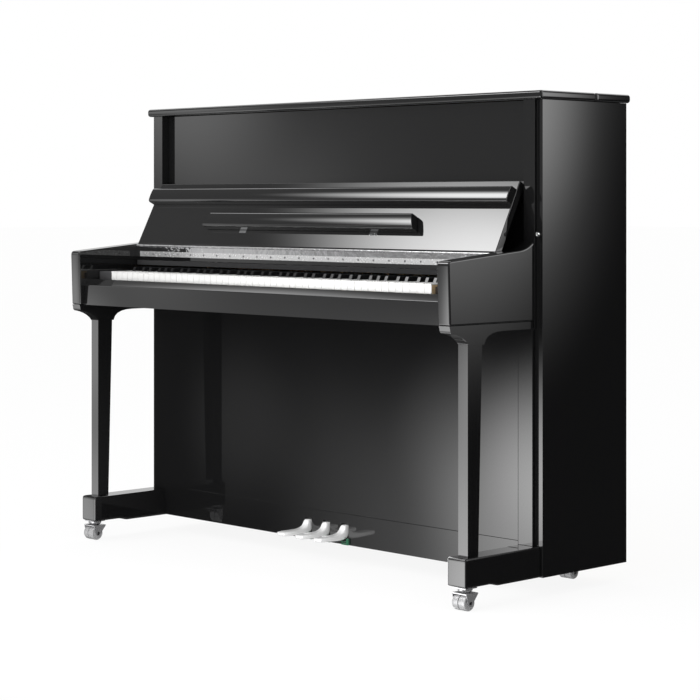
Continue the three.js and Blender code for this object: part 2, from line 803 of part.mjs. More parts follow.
function caster(name, x, y, radius, top) {
  const place = new THREE.Group();
  place.position.set(x, y, 0);
  piano.add(place);
  const hub = radius * Math.cos(Math.PI / wheelSides);
  add(name + "_fork", fork(radius, hub, top), chrome(), place);
  add(name + "_wheel", wheel(radius).translate(0, casterTrail, hub), chrome(), place);
}

for (const { side, sign } of sides) {
  const frontX = sign * (armOuter - frontCasterInset);
  const frontY = toeBlockFront + frontCasterSetback;
  const rearX = sign * (sideInner - rearCasterInset);
  caster(side + "_front_caster", frontX, frontY, frontWheelRadius, caseBottom + toeBlockLift - gap);
  caster(side + "_rear_caster", rearX, rearCasterY, rearWheelRadius, bottomRailBottom - gap);
}

// ---------------------------------------------------------------- back frame, soundboard, plate and strings
// A board that stands across the case, with equal windows between equal posts.
function windowedBoard(half, [y0, y1], [z0, z1], post, posts, bottomBeam, topBeam) {
  const pitch = (2 * half - post) / (posts - 1);
  const window = (_, i) => {
    const x0 = -half + i * pitch + post;
    return block([x0, y0 - 1, z0 + bottomBeam], [x0 + pitch - post, y1 + 1, z1 - topBeam]);
  };
  return cut(block([-half, y0, z0], [half, y1, z1]), Array.from({ length: posts - 1 }, window));
}

const backFrameSpan = [backFrameFront, backFrameFront + backFrameDepth];
const backFrameHeight = [bottomRailBottom, caseTop - gap];
const backFrame = windowedBoard(
  insideHalf,
  backFrameSpan,
  backFrameHeight,
  backPostWidth,
  backPosts,
  backBeam,
  backBeam,
);
add("back_frame", backFrame, spruce());

const boardBottom = bottomBoardTop + gap;
const boardTop = caseTop - boardTopRoom;
const soundboard = block(
  [-insideHalf, soundboardY, boardBottom],
  [insideHalf, soundboardY + soundboardThickness, boardTop],
);
add("soundboard", soundboard, spruce());

const ironPlate = windowedBoard(
  sideInner - plateMargin,
  [plateY, plateY + plateThickness],
  [boardBottom + plateInset, boardTop - plateInset],
  platePostWidth,
  platePosts,
  plateBottomBeam,
  plateTopBeam,
);
add("iron_plate", ironPlate, castIron());

function strings() {
  const pitch = (2 * actionHalf) / (stringCount - 1);
  const bottom = boardBottom + stringFoot;
  const top = boardTop - stringHead;
  const wire = (_, i) => {
    const x = -actionHalf + i * pitch;
    return block([x, stringY, bottom], [x + stringThickness, stringY + stringThickness, top]);
  };
  const bar = (z) =>
    block([-actionHalf, stringY, z], [actionHalf + stringThickness, plateY - gap, z + stringBarHeight]);
  const wires = Array.from({ length: stringCount }, wire);
  return join([...wires, bar(bottom), bar(top - stringBarHeight)]);
}
add("strings", strings(), steel());

// ---------------------------------------------------------------- action
function actionFrame() {
  const railFront = keybedRear - actionRailDepth;
  const railBottom = hammerPivotZ - actionRailDrop;
  const head = hammerPivotZ - bracketHeadDrop;
  const bracket = (x) =>
    alongX(
      outline([
        [keybedRear - 2 - bracketFootDepth, keybedTop + gap],
        [keybedRear - 2, keybedTop + gap],
        [keybedRear, railBottom],
        [keybedRear + bracketHalf, head],
        [railFront, head],
      ]),
      x - bracketHalf,
      x + bracketHalf,
    );
  const railTop = railBottom + actionRailHeight;
  const rail = block([-actionHalf, railFront, railBottom], [actionHalf, keybedRear, railTop]);
  const brackets = bracketPlaces.map((share) => bracket(share * (actionHalf - 2 * bracketHalf)));
  return join([...brackets, rail]);
}
add("action_frame", actionFrame(), beech());

// Hammers stand on their butts against the rest rail, and strike towards the strings.
function hammers() {
  const firstX = -keyboardHalf + hammerEndRoom;
  const pitch = (-2 * firstX) / (hammerCount - 1);
  const hammer = (_, i) => {
    const x = firstX + i * pitch;
    return alongX(
      outline([
        [hammerPivotY - hammerButtBack, hammerPivotZ],
        [hammerPivotY + hammerButtFront, hammerPivotZ],
        [hammerPivotY - hammerShankLean, hammerPivotZ + hammerShankTop],
        [hammerPivotY + hammerTipReach, hammerPivotZ + hammerTipBottom],
        [hammerPivotY + hammerTipReach, hammerPivotZ + hammerTipTop],
        [hammerPivotY - hammerTailReach, hammerPivotZ + hammerTailTop],
      ]),
      x - bracketHalf,
      x + bracketHalf,
    );
  };
  const rail = block(
    [-keyboardHalf, hammerPivotY - restRailFront, hammerPivotZ + restRailBottom],
    [keyboardHalf, hammerPivotY - restRailBack, hammerPivotZ + restRailTop],
  );
  return join([...Array.from({ length: hammerCount }, hammer), rail]);
}
add("hammers", hammers(), felt());

function dampers() {
  const firstX = -keyboardHalf + hammerEndRoom;
  const foot = hammerPivotZ - bracketHeadDrop;
  const felt = stringY - 1;
  const damper = (_, i) => {
    const x = firstX + i * damperPitch;
    return alongX(
      outline([
        [stringY - damperWireReach, foot],
        [stringY - damperWireReach + damperWireDepth, foot],
        [stringY - damperHeadDepth, hammerPivotZ + damperHeadBottom],
        [felt, hammerPivotZ + damperHeadBottom],
        [felt, hammerPivotZ + damperHeadTop],
        [stringY - damperHeadDepth, hammerPivotZ + damperHeadTop],
        [stringY - damperShoulderReach, hammerPivotZ + damperShoulder],
      ]),
      x - damperHalf,
      x + damperHalf,
    );
  };
  const railFront = stringY - damperRailFront;
  const railEnd = firstX + (damperCount - 1) * damperPitch + hammerEndRoom;
  const rail = block(
    [-keyboardHalf, railFront, foot],
    [railEnd, railFront + damperRailDepth, foot + damperRailHeight],
  );
  return join([...Array.from({ length: damperCount }, damper), rail]);
}
add("dampers", dampers(), felt());

const mufflerRail = block(
  [-keyboardHalf, stringY - mufflerFront, hammerPivotZ + mufflerBottom],
  [keyboardHalf, stringY - mufflerBack, hammerPivotZ + mufflerTop],
);
add("muffler_rail", mufflerRail, felt());

piano.position.y = (armReach - lidBack) / 2;

export default piano;
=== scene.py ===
import json
import math

import bmesh
import bpy
from mathutils import Matrix, Vector

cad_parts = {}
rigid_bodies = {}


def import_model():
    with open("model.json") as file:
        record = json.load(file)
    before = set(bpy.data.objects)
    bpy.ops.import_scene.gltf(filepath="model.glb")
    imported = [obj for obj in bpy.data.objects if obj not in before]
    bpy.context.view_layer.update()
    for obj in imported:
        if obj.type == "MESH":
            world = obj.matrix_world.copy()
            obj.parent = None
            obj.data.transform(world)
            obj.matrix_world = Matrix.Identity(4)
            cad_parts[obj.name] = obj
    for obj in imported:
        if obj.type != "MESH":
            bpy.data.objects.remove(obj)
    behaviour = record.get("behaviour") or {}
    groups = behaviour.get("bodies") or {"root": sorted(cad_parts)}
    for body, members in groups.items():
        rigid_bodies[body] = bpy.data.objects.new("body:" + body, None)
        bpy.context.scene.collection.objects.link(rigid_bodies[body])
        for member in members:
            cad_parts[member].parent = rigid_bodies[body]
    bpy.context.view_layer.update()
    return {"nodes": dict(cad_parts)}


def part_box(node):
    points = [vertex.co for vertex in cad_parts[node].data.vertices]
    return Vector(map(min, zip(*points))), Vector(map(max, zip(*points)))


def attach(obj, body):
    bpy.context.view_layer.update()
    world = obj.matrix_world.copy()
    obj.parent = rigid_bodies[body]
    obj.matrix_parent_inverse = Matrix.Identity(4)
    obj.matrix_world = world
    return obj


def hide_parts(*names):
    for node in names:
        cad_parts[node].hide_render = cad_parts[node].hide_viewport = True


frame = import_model()

# ---------------------------------------------------------------- camera
# The piano is seen from the player's right, a little below the lid, through a long lens.
camera = bpy.data.objects.new("camera", bpy.data.cameras.new("camera"))
camera.location = (3.9736, -3.7730, 0.9435)
camera.rotation_euler = (math.pi / 2, 0, 0.8024)
camera.data.lens = 106.83
camera.data.sensor_width = 36
camera.data.shift_y = -0.2116
camera.data.clip_end = 100
bpy.context.scene.collection.objects.link(camera)
bpy.context.scene.camera = camera
bpy.context.scene.view_settings.view_transform = "Standard"

# ---------------------------------------------------------------- studio
# A white room with a pale floor. Polished lacquer is only as bright as what it mirrors, so the room
# has large soft panels that are seen in the lacquer and not by the camera.
world = bpy.data.worlds.new("studio")
bpy.context.scene.world = world
world.use_nodes = True
room = world.node_tree
room.nodes.clear()


def node(tree, kind, links=(), **values):
    """A shader node; values set its sockets or properties, and links join other sockets to it."""
    made = tree.nodes.new(kind)
    for name, value in values.items():
        if hasattr(made, name):
            setattr(made, name, value)
        else:
            made.inputs[name.replace("_", " ")].default_value = value
    for source, target in links:
        tree.links.new(source, made.inputs[target])
    return made


def turned_towards(azimuth, elevation):
    """A direction from its azimuth, from -Y towards -X, and its height above the horizon, in degrees."""
    a = math.radians(azimuth)
    e = math.radians(elevation)
    return (-math.sin(a) * math.cos(e), -math.cos(a) * math.cos(e), math.sin(e))


# azimuth, elevation, inner edge, outer edge and brightness of each soft panel in the room
soft_panels = [
    (42, 50, 8, 34, 9.0),
    (150, 35, 12, 45, 1.6),
    (-70, 30, 12, 45, 2.2),
    (-110, 10, 6, 30, 1.0),
    (40, -40, 12, 40, 1.3),
    (230, 10, 10, 40, 0.8),
]
room_base = 0.12
direction = node(room, "ShaderNodeTexCoord").outputs["Generated"]
seen = None
for azimuth, elevation, inner, outer, brightness in soft_panels:
    along = node(room, "ShaderNodeVectorMath", [(direction, 0)], operation="DOT_PRODUCT")
    along.inputs[1].default_value = turned_towards(azimuth, elevation)
    glow = node(
        room,
        "ShaderNodeMapRange",
        [(along.outputs["Value"], "Value")],
        interpolation_type="SMOOTHSTEP",
        From_Min=math.cos(math.radians(outer)),
        From_Max=math.cos(math.radians(inner)),
        To_Min=0,
        To_Max=brightness,
    )
    if seen is None:
        seen = node(room, "ShaderNodeMath", [(glow.outputs["Result"], 0)], operation="ADD")
        seen.inputs[1].default_value = room_base
    else:
        seen = node(
            room, "ShaderNodeMath", [(seen.outputs[0], 0), (glow.outputs["Result"], 1)], operation="ADD"
        )
rays = node(room, "ShaderNodeLightPath")
mirrored = node(room, "ShaderNodeBackground", [(seen.outputs[0], "Strength")])
plain = node(room, "ShaderNodeBackground", Color=(1, 1, 1, 1), Strength=1.0)
mixed = node(
    room,
    "ShaderNodeMixShader",
    [(rays.outputs["Is Glossy Ray"], 0), (plain.outputs[0], 1), (mirrored.outputs[0], 2)],
)
node(room, "ShaderNodeOutputWorld", [(mixed.outputs[0], "Surface")])

key_light = bpy.data.objects.new("key_light", bpy.data.lights.new("key_light", "AREA"))
key_light.data.energy = 60
key_light.data.size = 2.5
key_light.location = (-1.5, -3.0, 3.2)
key_light.rotation_euler = (Vector((0, 0, 0.7)) - key_light.location).to_track_quat("-Z", "Y").to_euler()
key_light.visible_glossy = False
bpy.context.scene.collection.objects.link(key_light)

low_light = bpy.data.objects.new("low_light", bpy.data.lights.new("low_light", "AREA"))
low_light.data.energy = 14
low_light.data.size = 0.8
low_light.location = (0.5, -1.3, 0.6)
low_light.rotation_euler = (
    Vector((0, -0.07, 0.08)) - low_light.location
).to_track_quat("-Z", "Y").to_euler()
low_light.visible_glossy = False
bpy.context.scene.collection.objects.link(low_light)

floor_mesh = bpy.data.meshes.new("floor")
floor_mesh.from_pydata(
    [(-60, -60, -0.0005), (60, -60, -0.0005), (60, 60, -0.0005), (-60, 60, -0.0005)], [], [(0, 1, 2, 3)]
)
floor = bpy.data.objects.new("floor", floor_mesh)
floor_finish = bpy.data.materials.new("floor_white")
floor_finish.use_nodes = True
floor_tree = floor_finish.node_tree
floor_glow = node(floor_tree, "ShaderNodeEmission", Color=(1, 1, 1, 1), Strength=1.0)
floor_matt = node(floor_tree, "ShaderNodeBsdfDiffuse", Color=(0.86, 0.86, 0.86, 1))
floor_mix = node(
    floor_tree, "ShaderNodeMixShader", [(floor_matt.outputs[0], 1), (floor_glow.outputs[0], 2)], Fac=0.9
)
floor_tree.links.new(floor_mix.outputs[0], floor_tree.nodes["Material Output"].inputs["Surface"])
floor_mesh.materials.append(floor_finish)
floor.visible_glossy = False
bpy.context.scene.collection.objects.link(floor)


def soft_card(name, corners, blobs, base):
    """A glowing card with soft patches of light, each (centre, reach, brightness) in metres."""
    mesh = bpy.data.meshes.new(name)
    mesh.from_pydata(corners, [], [(0, 1, 2, 3)])
    card = bpy.data.objects.new(name, mesh)
    glow = bpy.data.materials.new(name)
    glow.use_nodes = True
    tree = glow.node_tree
    place = node(tree, "ShaderNodeTexCoord").outputs["Object"]
    total = None
    for centre, reach, brightness in blobs:
        shifted = node(tree, "ShaderNodeVectorMath", [(place, 0)], operation="SUBTRACT")
        shifted.inputs[1].default_value = centre
        scaled = node(tree, "ShaderNodeVectorMath", [(shifted.outputs[0], 0)], operation="DIVIDE")
        scaled.inputs[1].default_value = reach
        away = node(tree, "ShaderNodeVectorMath", [(scaled.outputs[0], 0)], operation="LENGTH")
        patch = node(
            tree,
            "ShaderNodeMapRange",
            [(away.outputs["Value"], "Value")],
            interpolation_type="SMOOTHERSTEP",
            From_Min=1,
            From_Max=0,
            To_Min=0,
            To_Max=brightness,
        )
        start = total.outputs[0] if total else None
        total = node(tree, "ShaderNodeMath", [(patch.outputs["Result"], 1)], operation="ADD")
        if start:
            tree.links.new(start, total.inputs[0])
        else:
            total.inputs[0].default_value = base
    light = node(tree, "ShaderNodeEmission", [(total.outputs[0], "Strength")])
    tree.links.new(light.outputs[0], tree.nodes["Material Output"].inputs["Surface"])
    mesh.materials.append(glow)
    for hidden in ("visible_camera", "visible_diffuse", "visible_shadow", "visible_transmission"):
        setattr(card, hidden, False)
    bpy.context.scene.collection.objects.link(card)
    return card


# The front card hangs in front of the keys, the low one under the keyboard, the right one beyond the
# treble side, and the high one overhead. Each patch is (centre), (reach), brightness.
soft_card(
    "front_card",
    [(-5.0, -1.8, -1.2), (2.6, -1.8, -1.2), (2.6, -1.8, 1.9), (-5.0, -1.8, 1.9)],
    [
        ((-2.8, -1.8, 0.4), (0.5, 9, 0.5), 1.22),
        ((-0.4, -1.8, 0.4), (0.5, 9, 0.5), 2.39),
        ((-2.8, -1.8, -0.4), (0.9, 9, 0.9), 1.69),
        ((-2.8, -1.8, 1.6), (0.9, 9, 0.9), 0.91),
        ((-2.4, -1.8, 0.8), (0.9, 9, 0.9), 0.25),
        ((-2.0, -1.8, 0.8), (0.9, 9, 0.9), 0.12),
        ((-0.8, -1.8, -0.8), (0.9, 9, 1.8), 1.02),
        ((-1.2, -1.8, -0.4), (1.5, 9, 1.5), 0.83),
        ((0.0, -1.8, -0.4), (1.5, 9, 1.5), 4.07),
    ],
    0.2,
)
soft_card(
    "low_card",
    [(-1.6, -0.246, -0.35), (0.655, -0.246, -0.35), (0.655, -0.246, 0.64), (-1.6, -0.246, 0.64)],
    [
        ((-0.6, -0.246, 0.3), (0.35, 9, 0.35), 0.12),
        ((-0.3, -0.246, 0.3), (0.35, 9, 0.35), 0.06),
        ((0.3, -0.246, 0.3), (0.35, 9, 0.35), 0.49),
        ((0.6, -0.246, 0.3), (0.35, 9, 0.35), 1.78),
        ((0.0, -0.246, 0.05), (0.6, 9, 0.6), 0.27),
        ((0.3, -0.246, 0.05), (0.6, 9, 0.6), 0.28),
        ((0.6, -0.246, 0.05), (0.6, 9, 0.6), 2.55),
    ],
    0.023,
)
soft_card(
    "right_card",
    [(1.5, -0.9, -0.6), (1.5, 3.0, -0.6), (1.5, 3.0, 2.4), (1.5, -0.9, 2.4)],
    [
        ((1.5, 0.8, 1.3), (9, 0.4, 0.64), 0.95),
        ((1.5, 0.55, 1.0), (9, 0.8, 0.8), 0.61),
        ((1.5, 0.3, 1.3), (9, 1.2, 1.2), 0.33),
        ((1.5, 0.3, 1.6), (9, 1.2, 1.2), 1.58),
    ],
    0.002,
)
soft_card(
    "high_card",
    [(-5.5, -3.2, 3.0), (1.5, -3.2, 3.0), (1.5, 0.5, 3.0), (-5.5, 0.5, 3.0)],
    [
        ((-1.7, -1.95, 3.0), (1.7, 0.9, 9), 8.0),
        ((-2.5, -0.25, 3.0), (1.7, 0.6, 9), 2.0),
    ],
    0.2,
)


# ---------------------------------------------------------------- back frame
# Five upright posts between a top and a bottom beam, planed softwood glued and screwed together. It takes
# the pull of the strings and stands at the very back of the case, left in clear-varnished wood.
def group(name, inputs, outputs):
    """An empty node group with named inputs, each (name, kind, value), and named outputs."""
    made = bpy.data.node_groups.new(name, "ShaderNodeTree")
    for label, kind, value in inputs:
        socket = made.interface.new_socket(label, in_out="INPUT", socket_type="NodeSocket" + kind)
        socket.default_value = value
    for label, kind in outputs:
        made.interface.new_socket(label, in_out="OUTPUT", socket_type="NodeSocket" + kind)
    return made, made.nodes.new("NodeGroupInput"), made.nodes.new("NodeGroupOutput")


def finish(name, **values):
    """A new material and its tree; values set the shader's own sockets."""
    made = bpy.data.materials.new(name)
    made.use_nodes = True
    shader = made.node_tree.nodes["Principled BSDF"]
    for label, value in values.items():
        shader.inputs[label.replace("_", " ")].default_value = value
    return made, made.node_tree, shader


def effect(tree, kind, **values):
    """A copy of a node group in a material, with its own values."""
    placed = tree.nodes.new("ShaderNodeGroup")
    placed.node_tree = kind
    for label, value in values.items():
        placed.inputs[label.replace("_", " ")].default_value = value
    return placed


def bump(tree, shader, height, strength, distance):
    """Joins a height to the shader's normal."""
    made = node(tree, "ShaderNodeBump", [(height, "Height")], Strength=strength, Distance=distance)
    tree.links.new(made.outputs["Normal"], shader.inputs["Normal"])


# long streaks along the board with fine pores between them
wood_grain, grain_in, grain_out = group(
    "wood_grain",
    [
        ("Stretch", "Vector", (20.0, 20.0, 1.2)),
        ("Light wood", "Color", (0.6, 0.42, 0.22, 1)),
        ("Dark wood", "Color", (0.42, 0.26, 0.12, 1)),
    ],
    [("Color", "Color"), ("Height", "Float")],
)
grain_place = node(wood_grain, "ShaderNodeTexCoord")
grain_scaled = node(
    wood_grain,
    "ShaderNodeVectorMath",
    [(grain_place.outputs["Object"], 0), (grain_in.outputs["Stretch"], 1)],
    operation="MULTIPLY",
)
grain_wide = node(
    wood_grain,
    "ShaderNodeTexNoise",
    [(grain_scaled.outputs[0], "Vector")],
    Scale=2.0,
    Detail=6.0,
)
grain_fine = node(
    wood_grain,
    "ShaderNodeTexNoise",
    [(grain_scaled.outputs[0], "Vector")],
    Scale=14.0,
    Detail=4.0,
)
grain_sum = node(
    wood_grain, "ShaderNodeMath", [
        (grain_wide.outputs[0], 0),
        (grain_fine.outputs[0], 1),
    ], operation="ADD"
)
grain_half = node(
    wood_grain,
    "ShaderNodeMapRange",
    [(grain_sum.outputs[0], "Value")],
    interpolation_type="SMOOTHSTEP",
    From_Min=0.75,
    From_Max=1.25,
)
grain_colour = node(
    wood_grain,
    "ShaderNodeMix",
    [
        (grain_half.outputs["Result"], 0),
        (grain_in.outputs["Dark wood"], 6),
        (grain_in.outputs["Light wood"], 7),
    ],
    data_type="RGBA",
)
wood_grain.links.new(grain_colour.outputs[2], grain_out.inputs["Color"])
wood_grain.links.new(grain_fine.outputs[0], grain_out.inputs["Height"])


def wood(name, stretch, light, dark, roughness):
    made, tree, shader = finish(name, Roughness=roughness)
    grain = effect(tree, wood_grain, Stretch=stretch, Light_wood=(*light, 1), Dark_wood=(*dark, 1))
    tree.links.new(grain.outputs["Color"], shader.inputs["Base Color"])
    bump(tree, shader, grain.outputs["Height"], 0.3, 0.0004)
    return made


upright_wood = wood("back_post_wood", (22, 22, 1.1), (0.62, 0.43, 0.22), (0.45, 0.28, 0.13), 0.5)


def from_cad(name):
    """The mesh of a CAD node with its doubled points merged and its flat faces whole."""
    bm = bmesh.new()
    bm.from_mesh(frame["nodes"][name].data)
    bmesh.ops.remove_doubles(bm, verts=bm.verts, dist=2e-5)
    bmesh.ops.dissolve_limit(
        bm, angle_limit=math.radians(0.6), verts=bm.verts, edges=bm.edges, use_dissolve_boundaries=False
    )
    return bm


def ease(bm, width, segments=2, sharper_than=30):
    """Rounds the sharp edges."""
    sharp = [e for e in bm.edges if e.is_manifold and e.calc_face_angle(0) > math.radians(sharper_than)]
    bmesh.ops.bevel(
        bm,
        geom=sharp,
        offset=width,
        offset_type="OFFSET",
        segments=segments,
        profile=0.5,
        affect="EDGES",
        clamp_overlap=True,
    )


def piece(name, bm, coat, body, stands_for=(), smooth=True):
    """Turns a bmesh into a named piece with one finish that rides on a body."""
    bmesh.ops.recalc_face_normals(bm, faces=bm.faces)
    mesh = bpy.data.meshes.new(name)
    bm.to_mesh(mesh)
    bm.free()
    mesh.materials.append(coat)
    made = bpy.data.objects.new(name, mesh)
    bpy.context.scene.collection.objects.link(made)
    if smooth:
        mesh.shade_smooth()
        mesh.set_sharp_from_angle(angle=math.radians(50))
        even = made.modifiers.new("even_shading", "WEIGHTED_NORMAL")
        even.weight = 60
        even.keep_sharp = True
    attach(made, body)
    if stands_for:
        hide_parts(*stands_for)
    return made


def eased_copy(name, width, coat, segments=3):
    """A CAD node made again with its edges rounded and a finish put on."""
    body = frame["nodes"][name].parent.name.removeprefix("body:")
    bm = from_cad(name)
    ease(bm, width, segments)
    return piece(name + "_made", bm, coat, body, [name])


eased_copy("back_frame", 0.003, upright_wood, 2)

# ---------------------------------------------------------------- soundboard
# A thin sheet of quarter-cut spruce, its grain running slantwise, with ribs glued across its back.
board_wood = wood("soundboard_wood", (60, 4, 3.0), (0.72, 0.52, 0.29), (0.6, 0.4, 0.19), 0.42)
eased_copy("soundboard", 0.0005, board_wood, 1)

board_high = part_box("soundboard")[1]
frame_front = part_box("back_frame")[0].y
rib_width = 0.013
rib_room = 0.0006
bm = bmesh.new()


def add_block(bm, low, high, turn=None):
    """A block between two opposite corners, turned afterwards if a matrix is given."""
    corners = [
        Vector((x, y, z)) for x in (
            low[0],
            high[0],
        ) for y in (low[1], high[1]) for z in (low[2], high[2])
    ]
    if turn is not None:
        corners = [turn @ c for c in corners]
    v = [bm.verts.new(c) for c in corners]
    for face in ((0, 1, 3, 2), (4, 6, 7, 5), (0, 4, 5, 1), (2, 3, 7, 6), (0, 2, 6, 4), (1, 5, 7, 3)):
        bm.faces.new([v[i] for i in face])


for step in range(9):
    height = 0.22 + step * 0.105
    half = 0.60 - abs(step - 4) * 0.02
    tilt = Matrix.Translation((0, 0, height)) @ Matrix.Rotation(math.radians(-9), 4, "Y")
    add_block(
        bm,
        (-half, board_high.y + rib_room, -rib_width / 2),
        (half, frame_front - rib_room, rib_width / 2),
        tilt,
    )
ease(bm, 0.002, 1)
piece("soundboard_ribs", bm, board_wood, "case")

# ---------------------------------------------------------------- iron plate
# One iron casting with struts between its top and bottom beams, sprayed bronze and bolted round its edge.
fine_haze, haze_in, haze_out = group(
    "fine_haze",
    [("Grain", "Float", 60.0), ("Smoothest", "Float", 0.05), ("Roughest", "Float", 0.12)],
    [("Roughness", "Float"), ("Height", "Float")],
)
haze_place = node(fine_haze, "ShaderNodeTexCoord")
haze_noise = node(
    fine_haze,
    "ShaderNodeTexNoise",
    [(haze_place.outputs["Object"], "Vector"), (haze_in.outputs["Grain"], "Scale")],
    Detail=5.0,
)
haze_range = node(
    fine_haze,
    "ShaderNodeMapRange",
    [
        (haze_noise.outputs[0], "Value"),
        (haze_in.outputs["Smoothest"], "To Min"),
        (haze_in.outputs["Roughest"], "To Max"),
    ],
    From_Min=0.35,
    From_Max=0.65,
)
fine_haze.links.new(haze_range.outputs["Result"], haze_out.inputs["Roughness"])
fine_haze.links.new(haze_noise.outputs[0], haze_out.inputs["Height"])


def hazed(name, colour, grain, smoothest, roughest, rise=0.0, **values):
    """A plain-coloured finish whose gloss and surface vary finely."""
    made, tree, shader = finish(name, Base_Color=(*colour, 1), **values)
    haze = effect(tree, fine_haze, Grain=grain, Smoothest=smoothest, Roughest=roughest)
    tree.links.new(haze.outputs["Roughness"], shader.inputs["Roughness"])
    if rise:
        bump(tree, shader, haze.outputs["Height"], 1.0, rise)
    return made


bronze_paint = hazed("bronze_paint", (0.42, 0.27, 0.09), 900.0, 0.32, 0.48, 0.00006, Metallic=0.6)
eased_copy("iron_plate", 0.004, bronze_paint, 2)


def add_rod(bm, start, end, radius, sides=12, end_radius=None):
    """A round rod, or a taper, between two points."""
    start, end = Vector(start), Vector(end)
    turn = (end - start).to_track_quat("Z", "Y").to_matrix().to_4x4()
    made = bmesh.ops.create_cone(
        bm,
        cap_ends=True,
        segments=sides,
        radius1=radius,
        radius2=radius if end_radius is None else end_radius,
        depth=(end - start).length,
        matrix=Matrix.Translation((start + end) / 2) @ turn,
    )
    return made["verts"]


plate_low, plate_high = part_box("iron_plate")
steel_screw = hazed("screw_steel", (0.55, 0.55, 0.56), 1500.0, 0.22, 0.36, Metallic=1.0)
bm = bmesh.new()
bolt_inset = 0.03
bolt_spaces = 8
for step in range(bolt_spaces + 1):
    x = plate_low.x + bolt_inset + step * (plate_high.x - plate_low.x - 0.06) / bolt_spaces
    for z in (plate_low.z + bolt_inset, plate_high.z - bolt_inset):
        add_rod(bm, (x, plate_low.y - 0.0002, z), (x, plate_low.y - 0.0045, z), 0.009, 6, 0.0084)
piece("plate_bolts", bm, steel_screw, "case", smooth=False)

# ---------------------------------------------------------------- strings and tuning pins
# Steel wire from the hitch pins up to the tuning pins, wound with copper in the bass. A bridge carries
# their sound into the board, and a pressure bar holds them down below the pins.
string_low, string_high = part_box("strings")
copper_wire = hazed("wound_copper", (0.55, 0.22, 0.1), 2500.0, 0.3, 0.5, Metallic=1.0)
steel_wire = hazed("plain_wire", (0.6, 0.6, 0.62), 2500.0, 0.2, 0.35, Metallic=1.0)
notes = 88
bass_notes = 26
bm = bmesh.new()
plain_bm = bmesh.new()
pin_bm = bmesh.new()
string_room = 0.005
string_span = string_high.x - string_low.x - 0.01
wire_y = string_low.y + 0.0012
wire_head = string_high.z - 0.03
pin_back = plate_low.y - 0.001
pin_front = plate_low.y - 0.022
pin_radius = 0.0032
bass_pin_drop = 0.02
treble_pin_drop = 0.034
pin_row_pitch = 0.012


def add_wire(wire_bm, x, foot, radius, sides, pin_x, pin_z):
    """A wire from its foot up to the pins, and the tuning pin that it is wound on."""
    add_rod(wire_bm, (x, wire_y, foot), (x, wire_y, wire_head), radius, sides)
    add_rod(pin_bm, (pin_x, pin_back, pin_z), (pin_x, pin_front, pin_z), pin_radius, 8)


for note in range(notes):
    share = note / (notes - 1)
    x = string_low.x + string_room + share * string_span
    foot = string_low.z + 0.03 + max(0.0, share - 0.3) * 0.5
    if note < bass_notes:
        for shift in (-0.0025, 0.0025):
            pin_z = string_high.z - bass_pin_drop + shift * 4
            add_wire(bm, x + shift, foot, 0.0011, 5, x + shift * 1.4, pin_z)
    else:
        for row, shift in enumerate((-0.003, 0, 0.003)):
            pin_z = string_high.z - treble_pin_drop + row * pin_row_pitch
            add_wire(plain_bm, x + shift, foot, 0.0006, 4, x + shift, pin_z)
piece("bass_strings", bm, copper_wire, "case", ["strings"])
piece("plain_strings", plain_bm, steel_wire, "case")
piece("tuning_pins", pin_bm, steel_screw, "case")

# ---------------------------------------------------------------- action
# Beech brackets and rails screwed to the keybed carry the hammers, the dampers and the soft-pedal felt.
beech = wood("beech", (30, 6, 30), (0.60, 0.38, 0.2), (0.48, 0.28, 0.14), 0.5)
eased_copy("action_frame", 0.0015, beech, 1)

felt_nap, nap_in, nap_out = group(
    "felt_nap",
    [
        ("Colour", "Color", (0.8, 0.78, 0.7, 1)),
        ("Shade", "Color", (0.6, 0.58, 0.5, 1)),
        ("Grain", "Float", 900.0),
    ],
    [("Color", "Color"), ("Height", "Float")],
)
nap_place = node(felt_nap, "ShaderNodeTexCoord")
nap_noise = node(
    felt_nap,
    "ShaderNodeTexNoise",
    [(nap_place.outputs["Object"], "Vector"), (nap_in.outputs["Grain"], "Scale")],
    Detail=6.0,
    Roughness=0.7,
)
nap_colour = node(
    felt_nap,
    "ShaderNodeMix",
    [(nap_noise.outputs[0], 0), (nap_in.outputs["Shade"], 6), (nap_in.outputs["Colour"], 7)],
    data_type="RGBA",
)
felt_nap.links.new(nap_colour.outputs[2], nap_out.inputs["Color"])
felt_nap.links.new(nap_noise.outputs[0], nap_out.inputs["Height"])


def felt(name, colour, shade):
    made, tree, shader = finish(name, Roughness=0.95, Sheen_Weight=0.25)
    nap = effect(tree, felt_nap, Colour=(*colour, 1), Shade=(*shade, 1))
    tree.links.new(nap.outputs["Color"], shader.inputs["Base Color"])
    bump(tree, shader, nap.outputs["Height"], 0.6, 0.0004)
    return made


white_felt = felt("hammer_felt", (0.83, 0.81, 0.74), (0.62, 0.6, 0.52))
hammer_low, hammer_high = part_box("hammers")
hammer_pivot = Vector((0, 0.120, 0.845))
hammer_pitch = (hammer_high.x - hammer_low.x - 0.04) / (notes - 1)
wood_bm = bmesh.new()
felt_bm = bmesh.new()


def add_outline(bm, points, axis, low, high):
    """An outline run along an axis; its points are the two other coordinates in order."""
    order = {
        "X": lambda a,
        b,
        c: (c, a, b),
        "Y": lambda a,
        b,
        c: (a, c, b),
        "Z": lambda a,
        b,
        c: (a, b, c),
    }[axis]
    first = [bm.verts.new(order(a, b, low)) for a, b in points]
    last = [bm.verts.new(order(a, b, high)) for a, b in points]
    bm.faces.new(first)
    bm.faces.new(list(reversed(last)))
    for i in range(len(points)):
        j = (i + 1) % len(points)
        bm.faces.new((first[j], first[i], last[i], last[j]))


